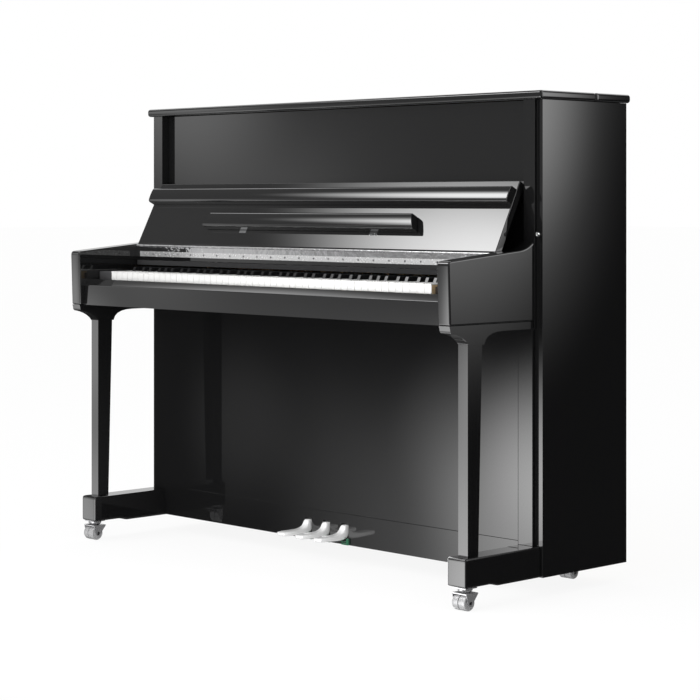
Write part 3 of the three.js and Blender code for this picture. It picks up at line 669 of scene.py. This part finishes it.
# outlines seen from the side, as (y, z) from the hammer's pivot
butt_outline = [(-0.009, -0.002), (0.006, -0.002), (0.004, 0.028), (-0.004, 0.036), (-0.012, 0.02)]
head_outline = [(-0.040, 0.139), (0.012, 0.135), (0.020, 0.141), (0.012, 0.146), (-0.040, 0.151)]
felt_outline = [
    (-0.012, 0.134),
    (0.014, 0.127),
    (0.030, 0.134),
    (0.0345, 0.1405),
    (0.030, 0.147),
    (0.014, 0.154),
    (-0.012, 0.151),
    (0.012, 0.1465),
    (0.0205, 0.141),
    (0.012, 0.1348),
]
butt_half = 0.0035
head_half = 0.004
felt_half = 0.0046
hammer_room = 0.02


def from_pivot(outline):
    return [(hammer_pivot.y + along, hammer_pivot.z + up) for along, up in outline]


for note in range(notes):
    x = hammer_low.x + hammer_room + note * hammer_pitch
    y, z = hammer_pivot.y, hammer_pivot.z
    add_outline(wood_bm, from_pivot(butt_outline), "X", x - butt_half, x + butt_half)
    add_rod(wood_bm, (x, y - 0.004, z + 0.03), (x, y - 0.032, z + 0.140), 0.0028, 8)
    add_outline(wood_bm, from_pivot(head_outline), "X", x - head_half, x + head_half)
    add_outline(felt_bm, from_pivot(felt_outline), "X", x - felt_half, x + felt_half)
add_block(wood_bm, (hammer_low.x, y - 0.05, z + 0.068), (hammer_high.x, y - 0.034, z + 0.09))
add_block(felt_bm, (hammer_low.x, y - 0.0338, z + 0.069), (hammer_high.x, y - 0.024, z + 0.087))
piece("hammer_shanks", wood_bm, beech, "hammers", ["hammers"], smooth=False)
piece("hammer_heads", felt_bm, white_felt, "hammers")

damper_low, damper_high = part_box("dampers")
wood_bm = bmesh.new()
felt_bm = bmesh.new()
damper_count = 66
felt_back = damper_high.y
for note in range(damper_count):
    x = hammer_low.x + hammer_room + note * hammer_pitch
    add_block(felt_bm, (x - 0.005, felt_back - 0.008, 0.906), (x + 0.005, felt_back - 0.0005, 0.939))
    add_block(wood_bm, (x - 0.0045, felt_back - 0.017, 0.908), (x + 0.0045, felt_back - 0.0083, 0.937))
    wire_foot = (x, damper_low.y + 0.004, damper_low.z + 0.008)
    add_rod(wood_bm, wire_foot, (x, felt_back - 0.016, 0.922), 0.0014, 6)
rail_corner = (damper_high.x, damper_low.y + 0.011, damper_low.z + 0.009)
add_block(wood_bm, (damper_low.x, damper_low.y, damper_low.z), rail_corner)
piece("damper_heads", wood_bm, beech, "dampers", ["dampers"], smooth=False)
piece("damper_felts", felt_bm, white_felt, "dampers")

eased_copy("muffler_rail", 0.0008, white_felt, 2)

# ---------------------------------------------------------------- case boards
# Veneered boards under thick black polyester lacquer, sanded flat and polished to a mirror, with their
# edges eased by hand. The two side boards carry the posts, and everything else is screwed between them.
lacquer = hazed(
    "black_lacquer",
    (0.0058, 0.0058, 0.006),
    7.0,
    0.018,
    0.05,
    0.0,
    Coat_Weight=1.0,
    Coat_Roughness=0.02,
    IOR=1.5,
)

for name, width in (
    ("left_side", 0.003),
    ("right_side", 0.003),
    ("keybed", 0.0015),
    ("bottom_rail", 0.001),
    ("left_arm", 0.0045),
    ("right_arm", 0.0045),
    ("left_leg", 0.0035),
    ("right_leg", 0.0035),
    ("left_toe_block", 0.005),
    ("right_toe_block", 0.005),
):
    eased_copy(name, width, lacquer)
# A very dark stain, real on the bottom board and the key frame; on the key end strips below, the same dark
# finish is painted shade.
stained_and_shade_wood = wood("stained_beech", (30, 6, 30), (0.03, 0.022, 0.018), (0.015, 0.011, 0.009), 0.6)
eased_copy("bottom_board", 0.0015, stained_and_shade_wood, 1)

# ---------------------------------------------------------------- lid
# Two boards with a moulded edge, joined by a long hinge, so that the front one folds back over the rear one.
for name in ("front_lid", "rear_lid"):
    eased_copy(name, 0.0075, lacquer, 5)

# ---------------------------------------------------------------- front panels
# Plain lacquered boards. The upper one is held by turn buttons, the lower one by a spring under the keybed.
eased_copy("upper_panel", 0.001, lacquer, 2)
eased_copy("lower_panel", 0.001, lacquer, 2)

# ---------------------------------------------------------------- key slip and key blocks
# The key slip is a moulded rail along the front of the keys, and the blocks close the keyboard's two ends.
slip_low, slip_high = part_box("key_slip")
slip_rear = slip_low.y + 0.022
slip_face_tilt = 0.0016
bm = bmesh.new()
add_outline(
    bm,
    [
        (slip_low.y, slip_low.z),
        (slip_rear, slip_low.z),
        (slip_rear, slip_low.z + 0.0363),
        (slip_high.y, slip_low.z + 0.0363),
        (slip_high.y, slip_high.z),
        (slip_high.y - 0.006, slip_high.z),
        (slip_low.y + slip_face_tilt + 0.0022, slip_high.z - 0.0143),
        (slip_low.y + slip_face_tilt, slip_high.z - 0.0178),
    ],
    "X",
    slip_low.x,
    slip_high.x,
)
ease(bm, 0.0005, 2, 24)
piece("key_slip_made", bm, lacquer, "case", ["key_slip"])
block_black = hazed("block_black", (0.05, 0.05, 0.052), 300.0, 0.34, 0.46, 0.0)
eased_copy("left_key_block", 0.003, block_black)
eased_copy("right_key_block", 0.003, block_black)
eased_copy("key_frame", 0.0015, stained_and_shade_wood, 1)

# Dark strips beside the two end keys fill the gaps up to the key blocks. They are painted shade: a dark fill
# standing in for the shade on the sides of the end key sticks, which are plain wood.
block_low, block_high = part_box("right_key_block")
bed_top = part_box("keybed")[1].z
shade_strip_top = block_high.z - 0.006
shade_strip_width = 0.0095
bm = bmesh.new()
for sign in (-1, 1):
    low_x, high_x = sorted((sign * (block_low.x - shade_strip_width), sign * (block_low.x - 0.0003)))
    add_block(bm, (low_x, block_low.y + 0.001, bed_top + 0.0005), (high_x, block_high.y, shade_strip_top))
ease(bm, 0.0005, 1)
piece("key_end_strips", bm, stained_and_shade_wood, "case")

# ---------------------------------------------------------------- white keys
# Each is a spruce stick with a moulded cap that overhangs a front plate. They rock on the balance rail.
white_count = 52
key_pitch = 0.0235
key_slit = 0.001
keys_left = -white_count * key_pitch / 2
key_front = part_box("white_keys")[0].y
key_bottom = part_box("white_keys")[0].z
white_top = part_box("white_keys")[1].z
head_back = key_front + 0.050
white_rear = key_front + 0.3506
sharp_width = 0.0105
cap_thickness = 0.0024
cap_overhang = 0.0008
cap_depth = 0.150
sharp_shift = {"a": 0.0036, "c": -0.0029, "d": 0.0029, "f": -0.0036, "g": 0.0}
note_names = "abcdefg"
loose_whites = 7


def sharp_beside(i):
    """The middle of the sharp to the right of a white key, or None."""
    name = note_names[i % 7]
    if name not in sharp_shift or not 0 <= i < white_count - 1:
        return None
    return keys_left + (i + 1) * key_pitch + sharp_shift[name]


def key_plan(i, front, rear, inset):
    """The plan of a white key, cut away beside its sharps."""
    left = keys_left + i * key_pitch + key_slit / 2 + inset
    right = keys_left + (i + 1) * key_pitch - key_slit / 2 - inset
    room = sharp_width / 2 + key_slit + inset
    before, after = sharp_beside(i - 1), sharp_beside(i)
    tail_left = left if before is None else before + room
    tail_right = right if after is None else after - room
    points = [(left, front), (right, front)]
    if tail_right != right:
        points += [(right, head_back), (tail_right, head_back)]
    points += [(tail_right, rear), (tail_left, rear)]
    if tail_left != left:
        points += [(tail_left, head_back), (left, head_back)]
    return points


key_plastic = hazed("key_plastic", (0.66, 0.66, 0.65), 40.0, 0.30, 0.42, 0.0, Specular_IOR_Level=0.3)
stick_wood = wood("key_stick_wood", (40, 6, 40), (0.72, 0.55, 0.34), (0.6, 0.42, 0.22), 0.55)


def white_key_shells(i):
    caps = bmesh.new()
    add_outline(
        caps,
        key_plan(i, key_front, key_front + cap_depth, 0),
        "Z",
        white_top - cap_thickness,
        white_top,
    )
    left = keys_left + i * key_pitch + key_slit / 2
    add_block(
        caps,
        (left + 0.0001, key_front + cap_overhang, key_bottom + 0.0004),
        (
            left + key_pitch - key_slit - 0.0001,
            key_front + cap_overhang + 0.002,
            white_top - cap_thickness - 0.0001,
        ),
    )
    ease(caps, 0.0005, 2)
    sticks = bmesh.new()
    add_outline(
        sticks,
        key_plan(i, key_front + cap_overhang + 0.0022, white_rear, 0.0003),
        "Z",
        key_bottom,
        white_top - cap_thickness - 0.0001,
    )
    return caps, sticks


def joined(parts):
    """One bmesh from several."""
    whole = bmesh.new()
    for part in parts:
        mesh = bpy.data.meshes.new("part")
        part.to_mesh(mesh)
        part.free()
        whole.from_mesh(mesh)
        bpy.data.meshes.remove(mesh)
    return whole


bank = [white_key_shells(i) for i in range(white_count - loose_whites)]
piece("white_key_caps", joined([c for c, s in bank]), key_plastic, "case", ["white_keys"])
piece("white_key_sticks", joined([s for c, s in bank]), stick_wood, "case", smooth=False)
for i in range(white_count - loose_whites, white_count):
    name = "key_" + note_names[i % 7] + str((i + 5) // 7)
    caps, sticks = white_key_shells(i)
    piece(name + "_cap", caps, key_plastic, name, [name])
    piece(name + "_stick", sticks, stick_wood, name, smooth=False)

# ---------------------------------------------------------------- black keys
# Moulded black tops with sloping fronts and sides that narrow upwards, glued on sticks like the white ones.
sharp_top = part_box("black_keys")[1].z
sharp_front = head_back + key_slit
sharp_back = sharp_front + 0.096
sharp_slope = 0.0105
side_slope = 0.0007
key_ebony = hazed("key_ebony", (0.006, 0.006, 0.0065), 500.0, 0.11, 0.17, 0.0, Coat_Weight=0.3)


def sharp_shell(x):
    half = sharp_width / 2
    low = white_top - 0.010
    bm = bmesh.new()
    foot = [
        (x - half, sharp_front, low),
        (x + half, sharp_front, low),
        (x + half, sharp_back, low),
        (x - half, sharp_back, low),
    ]
    top = [
        (x - half + side_slope, sharp_front + sharp_slope, sharp_top),
        (x + half - side_slope, sharp_front + sharp_slope, sharp_top),
        (x + half - side_slope, sharp_back, sharp_top),
        (x - half + side_slope, sharp_back, sharp_top),
    ]
    v = [bm.verts.new(p) for p in foot + top]
    for face in ((3, 2, 1, 0), (4, 5, 6, 7), (0, 1, 5, 4), (1, 2, 6, 5), (2, 3, 7, 6), (3, 0, 4, 7)):
        bm.faces.new([v[i] for i in face])
    ease(bm, 0.0012, 3)
    add_block(
        bm,
        (x - half + 0.0005, sharp_front + 0.002, key_bottom),
        (x + half - 0.0005, sharp_back + 0.09, low - 0.0001),
    )
    return bm


sharp_places = [(i, sharp_beside(i)) for i in range(white_count - 1) if sharp_beside(i) is not None]
first_loose = keys_left + (white_count - loose_whites) * key_pitch - key_pitch / 2
bank = [sharp_shell(x) for i, x in sharp_places if x <= first_loose]
piece("black_key_tops", joined(bank), key_ebony, "case", ["black_keys"])
for i, x in sharp_places:
    if x > first_loose:
        name = "key_" + note_names[i % 7] + "_sharp" + str((i + 5) // 7)
        piece(name + "_top", sharp_shell(x), key_ebony, name, [name])

# ---------------------------------------------------------------- fallboard, lip and music ledge
# The fallboard swings on a pin along its foot. A lip that folds out is hinged across it, and below it a
# short ledge folds down to hold the music. Both have gently crowned faces.
pin = Vector((0, -0.114, 0.820))
lean = math.radians(27.35)
on_board = Matrix.Translation(pin) @ Matrix.Rotation(-lean, 4, "X")
board_length = 0.1964
board_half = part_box("fallboard")[1].x
skin = 0.0003
eased_copy("fallboard", 0.002, lacquer)


def crowned_bar(name, low, high, thickness, crown, half_at, base, body):
    """A bar lying on the fallboard, with a crowned face and rounded edges, run along X."""
    steps = 10
    radius = 0.0065
    face = []
    for k in range(5):
        a = math.radians(90 * k / 4)
        face.append(
            (-(thickness - radius - crown) - radius * math.sin(a), low + radius - radius * math.cos(a))
        )
    for k in range(1, steps):
        share = k / steps
        z = low + radius + share * (high - low - 2 * radius)
        face.append((-(thickness - crown) - crown * math.sin(math.pi * share), z))
    for k in range(5):
        a = math.radians(90 - 90 * k / 4)
        face.append(
            (-(thickness - radius - crown) - radius * math.sin(a), high - radius + radius * math.cos(a))
        )
    outline = [(-base, low)] + face + [(-base, high)]
    bm = bmesh.new()
    first = [bm.verts.new(on_board @ Vector((-half_at(z), y, z))) for y, z in outline]
    last = [bm.verts.new(on_board @ Vector((half_at(z), y, z))) for y, z in outline]
    bm.faces.new(first)
    bm.faces.new(list(reversed(last)))
    for i in range(len(outline)):
        j = (i + 1) % len(outline)
        bm.faces.new((first[j], first[i], last[i], last[j]))
    bmesh.ops.recalc_face_normals(bm, faces=bm.faces)
    ease(bm, 0.0015, 3, 40)
    piece(name + "_made", bm, lacquer, body, [name])


bar_crown = 0.0009
lip_top = board_length - 0.024
lip_foot = lip_top - 0.0427
crowned_bar(
    "fallboard_lip",
    lip_foot,
    lip_top,
    0.0243,
    bar_crown,
    lambda z: board_half,
    skin,
    "fallboard_lip",
)
ledge_top = lip_foot - 0.0326
ledge_foot = ledge_top - 0.0437
crowned_bar(
    "music_ledge",
    ledge_foot,
    ledge_top,
    0.0249,
    bar_crown,
    lambda z: 0.403 - 0.020 * (z - ledge_foot) / (ledge_top - ledge_foot),
    0.0009,
    "music_ledge",
)
chrome = hazed("chrome", (0.80, 0.81, 0.82), 120.0, 0.04, 0.1, 0.0, Metallic=1.0)
bm = bmesh.new()
clip_half = 0.0135
clip_foot = ledge_foot - 0.0085
clip_gauge = 0.0008
for x in (-0.25, 0.25):
    add_block(
        bm,
        (x - clip_half, -clip_gauge, clip_foot),
        (x + clip_half, -0.0001, ledge_foot - 0.0012),
        on_board,
    )
ease(bm, 0.0003, 1)
piece("ledge_clips", bm, chrome, "fallboard")

# ---------------------------------------------------------------- fallboard hinge and rail
# A full-length hinge of rolled chromed steel. Its fixed leaf is screwed to the face of the rail, and its
# knuckles turn about one long pin.
leaf_low, leaf_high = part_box("fallboard_hinge")
knuckle_radius = 0.0035
knuckle_count = 40
eased_copy("fallboard_rail", 0.0015, lacquer)
rolled_chrome, rolled_tree, rolled_shader = finish(
    "rolled_chrome",
    Base_Color=(0.82, 0.82, 0.83, 1),
    Metallic=1.0,
    Roughness=0.07,
)
dents = node(
    rolled_tree,
    "ShaderNodeTexNoise",
    [(node(rolled_tree, "ShaderNodeTexCoord").outputs["Object"], "Vector")],
    Scale=55.0,
    Detail=2.5,
)
bump(rolled_tree, rolled_shader, dents.outputs[0], 0.4, 0.0025)
bm = bmesh.new()
leaf_y = pin.y - knuckle_radius + 0.001
leaf_gauge = 0.0015
end_plate_width = 0.022
mid_z = pin.z - 0.0155
add_block(bm, (leaf_low.x, leaf_y, leaf_low.z), (leaf_high.x, leaf_y + leaf_gauge, mid_z))
ease(bm, 0.0004, 2)
leaf_nickel = hazed("leaf_nickel", (0.78, 0.78, 0.78), 200.0, 0.18, 0.28, 0.0, Metallic=0.7)
piece("hinge_leaf", bm, leaf_nickel, "case", ["fallboard_hinge"])
bm = bmesh.new()
add_block(
    bm,
    (leaf_low.x, leaf_y - 0.0002, mid_z + 0.0002),
    (leaf_high.x, leaf_y + 0.0013, pin.z - 0.0028),
)
knuckle = (leaf_high.x - leaf_low.x) / knuckle_count
for k in range(knuckle_count):
    x = leaf_low.x + k * knuckle
    add_rod(
        bm,
        (x + 0.0003, pin.y, pin.z),
        (x + knuckle - 0.0003, pin.y, pin.z),
        knuckle_radius - 0.0001,
        16,
    )
piece("hinge_knuckles", bm, rolled_chrome, "case", smooth=True)
bm = bmesh.new()
for sign in (-1, 1):
    low_x, high_x = sorted((sign * (leaf_high.x - end_plate_width), sign * (leaf_high.x + 0.0006)))
    add_block(
        bm,
        (low_x, leaf_y - 0.0042, leaf_low.z - 0.0005),
        (high_x, leaf_y - 0.0006, mid_z + 0.001),
    )
ease(bm, 0.0012, 3)
piece("hinge_end_plates", bm, rolled_chrome, "case")
rail_low, rail_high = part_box("fallboard_rail")
board_felt = felt("board_felt", (0.012, 0.012, 0.013), (0.006, 0.006, 0.007))
bm = bmesh.new()
add_block(
    bm,
    (rail_low.x + 0.001, rail_low.y + 0.001, rail_low.z - 0.013),
    (rail_high.x - 0.001, rail_low.y + 0.009, rail_low.z - 0.0003),
)
ease(bm, 0.001, 2)
piece("name_board_felt", bm, board_felt, "case")
bm = bmesh.new()
add_rod(bm, (leaf_low.x - 0.0005, pin.y, pin.z), (leaf_high.x + 0.0005, pin.y, pin.z), 0.0018, 12)
piece("hinge_pin", bm, steel_screw, "case")


def add_screw(bm, centre, facing, radius, height):
    """A domed screw head with a slot, its underside at centre."""
    turn = Vector(facing).to_track_quat("Z", "Y").to_matrix().to_4x4()
    place = Matrix.Translation(Vector(centre)) @ turn
    sides = 14
    rings = []
    for r, h in (
        (radius, 0),
        (radius, height * 0.3),
        (radius * 0.75, height * 0.85),
        (radius * 0.3, height),
    ):
        rings.append(
            [
                bm.verts.new(
                    place @ Vector(
                        (r * math.cos(2 * math.pi * s / sides), r * math.sin(2 * math.pi * s / sides), h)
                    )
                )
                for s in range(sides)
            ]
        )
    for lower, upper in zip(rings, rings[1:]):
        for s in range(sides):
            t = (s + 1) % sides
            bm.faces.new((lower[s], lower[t], upper[t], upper[s]))
    bm.faces.new(rings[-1])
    bm.faces.new(list(reversed(rings[0])))


bm = bmesh.new()
screw_pitch = 0.055
screws = int((leaf_high.x - leaf_low.x) / screw_pitch)
for k in range(screws + 1):
    x = -screws * screw_pitch / 2 + k * screw_pitch
    add_screw(bm, (x, leaf_y - 0.0001, (leaf_low.z + mid_z) / 2), (0, -1, 0), 0.0024, 0.0009)
dark_screw = hazed("dark_screw", (0.12, 0.12, 0.125), 1500.0, 0.25, 0.4, Metallic=1.0)
piece("hinge_screws", bm, dark_screw, "case")

# ---------------------------------------------------------------- pedals
# Three chromed levers. Each passes through a slot in the bottom rail, drops, and ends in a flat rounded toe.
pedal_names = ("left_pedal", "middle_pedal", "right_pedal")
pedal_path = [
    # y, underside, top, half width
    (0.1480, 0.0912, 0.0998, 0.0095),
    (-0.0080, 0.0912, 0.1005, 0.0095),
    (-0.0120, 0.0905, 0.1015, 0.0098),
    (-0.0135, 0.0680, 0.1018, 0.0100),
    (-0.0200, 0.0672, 0.1020, 0.0103),
    (-0.0255, 0.0655, 0.1012, 0.0105),
    (-0.0278, 0.0648, 0.0980, 0.0106),
    (-0.0300, 0.0642, 0.0930, 0.0107),
    (-0.0335, 0.0637, 0.0880, 0.0109),
    (-0.0390, 0.0634, 0.0838, 0.0113),
    (-0.0480, 0.0634, 0.0806, 0.0119),
    (-0.0600, 0.0638, 0.0793, 0.0128),
    (-0.0730, 0.0645, 0.0790, 0.0141),
    (-0.0860, 0.0653, 0.0790, 0.0154),
    (-0.0990, 0.0661, 0.0790, 0.0161),
    (-0.1100, 0.0668, 0.0787, 0.0157),
    (-0.1175, 0.0676, 0.0778, 0.0137),
    (-0.1215, 0.0690, 0.0765, 0.0100),
    (-0.1229, 0.0708, 0.0748, 0.0045),
]
dowel_radius = 0.0048
dowel_pin_radius = 0.0020
dowel_pin_length = 0.02
pedal_nickel = hazed("pedal_nickel", (0.95, 0.95, 0.95), 60.0, 0.10, 0.2, 0.0, Metallic=0.3)


def add_sweep(bm, path, x, sides=24):
    """A rounded bar along -Y; each station has a height, an underside, a top and a half width."""
    rings = []
    for y, under, top, half in path:
        middle, tall = (under + top) / 2, (top - under) / 2
        ring = []
        for s in range(sides):
            a = 2 * math.pi * s / sides
            c, k = math.cos(a), math.sin(a)
            wide = half * math.copysign(abs(c) ** 0.5, c)
            ring.append(bm.verts.new((x + wide, y, middle + tall * math.copysign(abs(k) ** 0.5, k))))
        rings.append(ring)
    for one, two in zip(rings, rings[1:]):
        for s in range(sides):
            t = (s + 1) % sides
            bm.faces.new((one[s], one[t], two[t], two[s]))
    bm.faces.new(list(reversed(rings[0])))
    bm.faces.new(rings[-1])


for name in pedal_names:
    low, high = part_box(name)
    x = (low.x + high.x) / 2
    bm = bmesh.new()
    add_sweep(bm, pedal_path, x)
    made = piece(name + "_lever", bm, pedal_nickel, name, [name], smooth=False)
    made.data.shade_smooth()
    rounding = made.modifiers.new("rounding", "SUBSURF")
    rounding.levels = rounding.render_levels = 1
    bm = bmesh.new()
    rod_low, rod_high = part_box(name + "_rod")
    rod_x, rod_y = (rod_low.x + rod_high.x) / 2, (rod_low.y + rod_high.y) / 2
    foot, head = rod_low.z + dowel_pin_length, rod_high.z - dowel_pin_length
    add_rod(bm, (rod_x, rod_y, foot), (rod_x, rod_y, head), dowel_radius, 14)
    add_rod(bm, (rod_x, rod_y, rod_low.z), (rod_x, rod_y, foot), dowel_pin_radius, 8)
    add_rod(bm, (rod_x, rod_y, head), (rod_x, rod_y, rod_high.z), dowel_pin_radius, 8)
    piece(name + "_dowel", bm, beech, name + "_rod", [name + "_rod"])

green_felt = felt("green_felt", (0.004, 0.11, 0.05), (0.002, 0.07, 0.03))
foot_rail_low, foot_rail_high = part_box("bottom_rail")
slot_half = 0.0137
slot_floor = 0.0553
slot_felt = 0.0022
tab_right = 0.0185
front = foot_rail_low.y
tab_front, tab_back = front - 0.0055, front - 0.0003
bm = bmesh.new()
for name in pedal_names:
    low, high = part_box(name)
    x = (low.x + high.x) / 2
    add_block(bm, (x - slot_half, front, slot_floor), (x + slot_half, foot_rail_high.y, slot_floor + slot_felt))
    add_block(bm, (x - 0.006, tab_front, 0.0505), (x + tab_right, tab_back, 0.0542))
    add_block(bm, (x + 0.0119, tab_front, 0.0544), (x + tab_right, tab_back, 0.0672))
ease(bm, 0.001, 2)
piece("pedal_felts", bm, green_felt, "case")

# ---------------------------------------------------------------- casters
# Pressed and chromed forks turn on a round cup screwed under the case, and carry wide wheels with a
# groove round the middle, on a riveted axle.
wheel_chrome = hazed("wheel_chrome", (0.36, 0.36, 0.365), 300.0, 0.16, 0.26, 0.0, Metallic=0.2)
fork_steel = hazed("fork_steel", (0.50, 0.50, 0.51), 300.0, 0.16, 0.28, 0.0, Metallic=0.75)
swivel_back = 0.006
bridge_half = 0.020
plate_half = 0.020
plate_screw_out = 0.0155
axle_radius = 0.0029
cheek_foot_radius = 0.0078


def add_turned(bm, profile, centre, axis, sides=32):
    """A turned shape, its profile in (radius, along) pairs, closed at its ends if they are open."""
    turn = Vector(axis).to_track_quat("Z", "Y").to_matrix().to_4x4()
    place = Matrix.Translation(Vector(centre)) @ turn
    rings = [
        [
            bm.verts.new(
                place @ Vector(
                    (r * math.cos(2 * math.pi * s / sides), r * math.sin(2 * math.pi * s / sides), h)
                )
            )
            for s in range(sides)
        ]
        for r, h in profile
    ]
    for one, two in zip(rings, rings[1:]):
        for s in range(sides):
            t = (s + 1) % sides
            bm.faces.new((one[s], one[t], two[t], two[s]))
    bm.faces.new(list(reversed(rings[0])))
    bm.faces.new(rings[-1])


def caster(name):
    fork_low, fork_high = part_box(name + "_fork")
    wheel_low, wheel_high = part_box(name + "_wheel")
    hub = (wheel_low + wheel_high) / 2
    radius = (wheel_high.z - wheel_low.z) / 2
    half = (wheel_high.x - wheel_low.x) / 2
    swivel = Vector(((fork_low.x + fork_high.x) / 2, hub.y + swivel_back, fork_high.z))
    bm = bmesh.new()
    plate = 0.0028
    low = (swivel.x - plate_half, swivel.y - plate_half, swivel.z - plate)
    add_block(bm, low, (swivel.x + plate_half, swivel.y + plate_half, swivel.z - 0.0002))
    ease(bm, 0.0012, 2)
    piece(name + "_plate", bm, fork_steel, name + "_fork", [name + "_fork"])
    bm = bmesh.new()
    for sx in (-1, 1):
        for sy in (-1, 1):
            add_screw(
                bm,
                (swivel.x + sx * plate_screw_out, swivel.y + sy * plate_screw_out, swivel.z - plate),
                (0, 0, -1),
                0.0024,
                0.0011,
            )
    piece(name + "_plate_screws", bm, dark_screw, name + "_fork")
    bm = bmesh.new()
    bridge = hub.z + radius + 0.0012
    cup_top = swivel.z - plate
    add_turned(
        bm,
        [
            (0.0165, cup_top),
            (0.0178, cup_top - 0.002),
            (0.0178, cup_top - 0.0042),
            (0.0150, bridge + 0.0048),
            (0.0118, bridge + 0.0022),
        ],
        (swivel.x, swivel.y, 0),
        (0, 0, 1),
        28,
    )
    gauge = 0.0024
    for side in (-1, 1):
        inner = half + 0.0008
        x0, x1 = sorted((hub.x + side * inner, hub.x + side * (inner + gauge)))
        points = []
        for k in range(9):
            a = math.radians(200 + 140 * k / 8)
            points.append((hub.y + cheek_foot_radius * math.cos(a), hub.z + cheek_foot_radius * math.sin(a)))
        points += [(swivel.y + bridge_half, bridge), (swivel.y + bridge_half, bridge + gauge)]
        points += [(swivel.y - bridge_half, bridge + gauge), (swivel.y - bridge_half, bridge)]
        add_outline(bm, points, "X", x0, x1)
    add_block(
        bm,
        (hub.x - half - 0.0007, swivel.y - bridge_half, bridge),
        (hub.x + half + 0.0007, swivel.y + bridge_half, bridge + gauge),
    )
    ease(bm, 0.0007, 2)
    piece(name + "_cheeks", bm, fork_steel, name + "_fork")
    bm = bmesh.new()
    reach = half + 0.0008 + gauge
    add_rod(bm, (hub.x - reach, hub.y, hub.z), (hub.x + reach, hub.y, hub.z), axle_radius, 16)
    for side in (-1, 1):
        add_screw(bm, (hub.x + side * reach, hub.y, hub.z), (side, 0, 0), 0.0046, 0.0012)
    piece(name + "_axle", bm, steel_screw, name + "_fork")
    bm = bmesh.new()
    groove = 0.0016
    flank = [
        (0.0036, -half + 0.001),
        (0.0075, -half),
        (0.0080, -half + 0.0022),
        (radius - 0.0045, -half + 0.0022),
        (radius - 0.0038, -half + 0.0004),
        (radius - 0.0012, -half + 0.0006),
        (radius - 0.0001, -half + 0.0025),
        (radius, -half * 0.5),
        (radius - 0.0002, -groove),
        (radius - 0.0028, -groove + 0.0004),
    ]
    tread = flank + [(r, -along) for r, along in reversed(flank)]
    add_turned(bm, tread, hub, (1, 0, 0), 48)
    piece(name + "_tread", bm, wheel_chrome, name + "_wheel", [name + "_wheel"])


for name in ("left_front_caster", "right_front_caster", "left_rear_caster", "right_rear_caster"):
    caster(name)

# ---------------------------------------------------------------- small fittings
# A chromed knob screwed into the front edge of each side board, just above the arms.
bm = bmesh.new()
side_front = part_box("left_arm")[1].y + 0.0103
knob_x = 0.7300
knob_z = 0.866
for sign in (-1, 1):
    add_turned(
        bm,
        [
            (0.0022, 0.0),
            (0.0022, 0.004),
            (0.0045, 0.0052),
            (0.0062, 0.008),
            (0.0066, 0.0105),
            (0.0055, 0.0135),
            (0.0025, 0.0152),
        ],
        (sign * knob_x, side_front, knob_z),
        (0, -1, 0),
        20,
    )
piece("side_knobs", bm, chrome, "case")
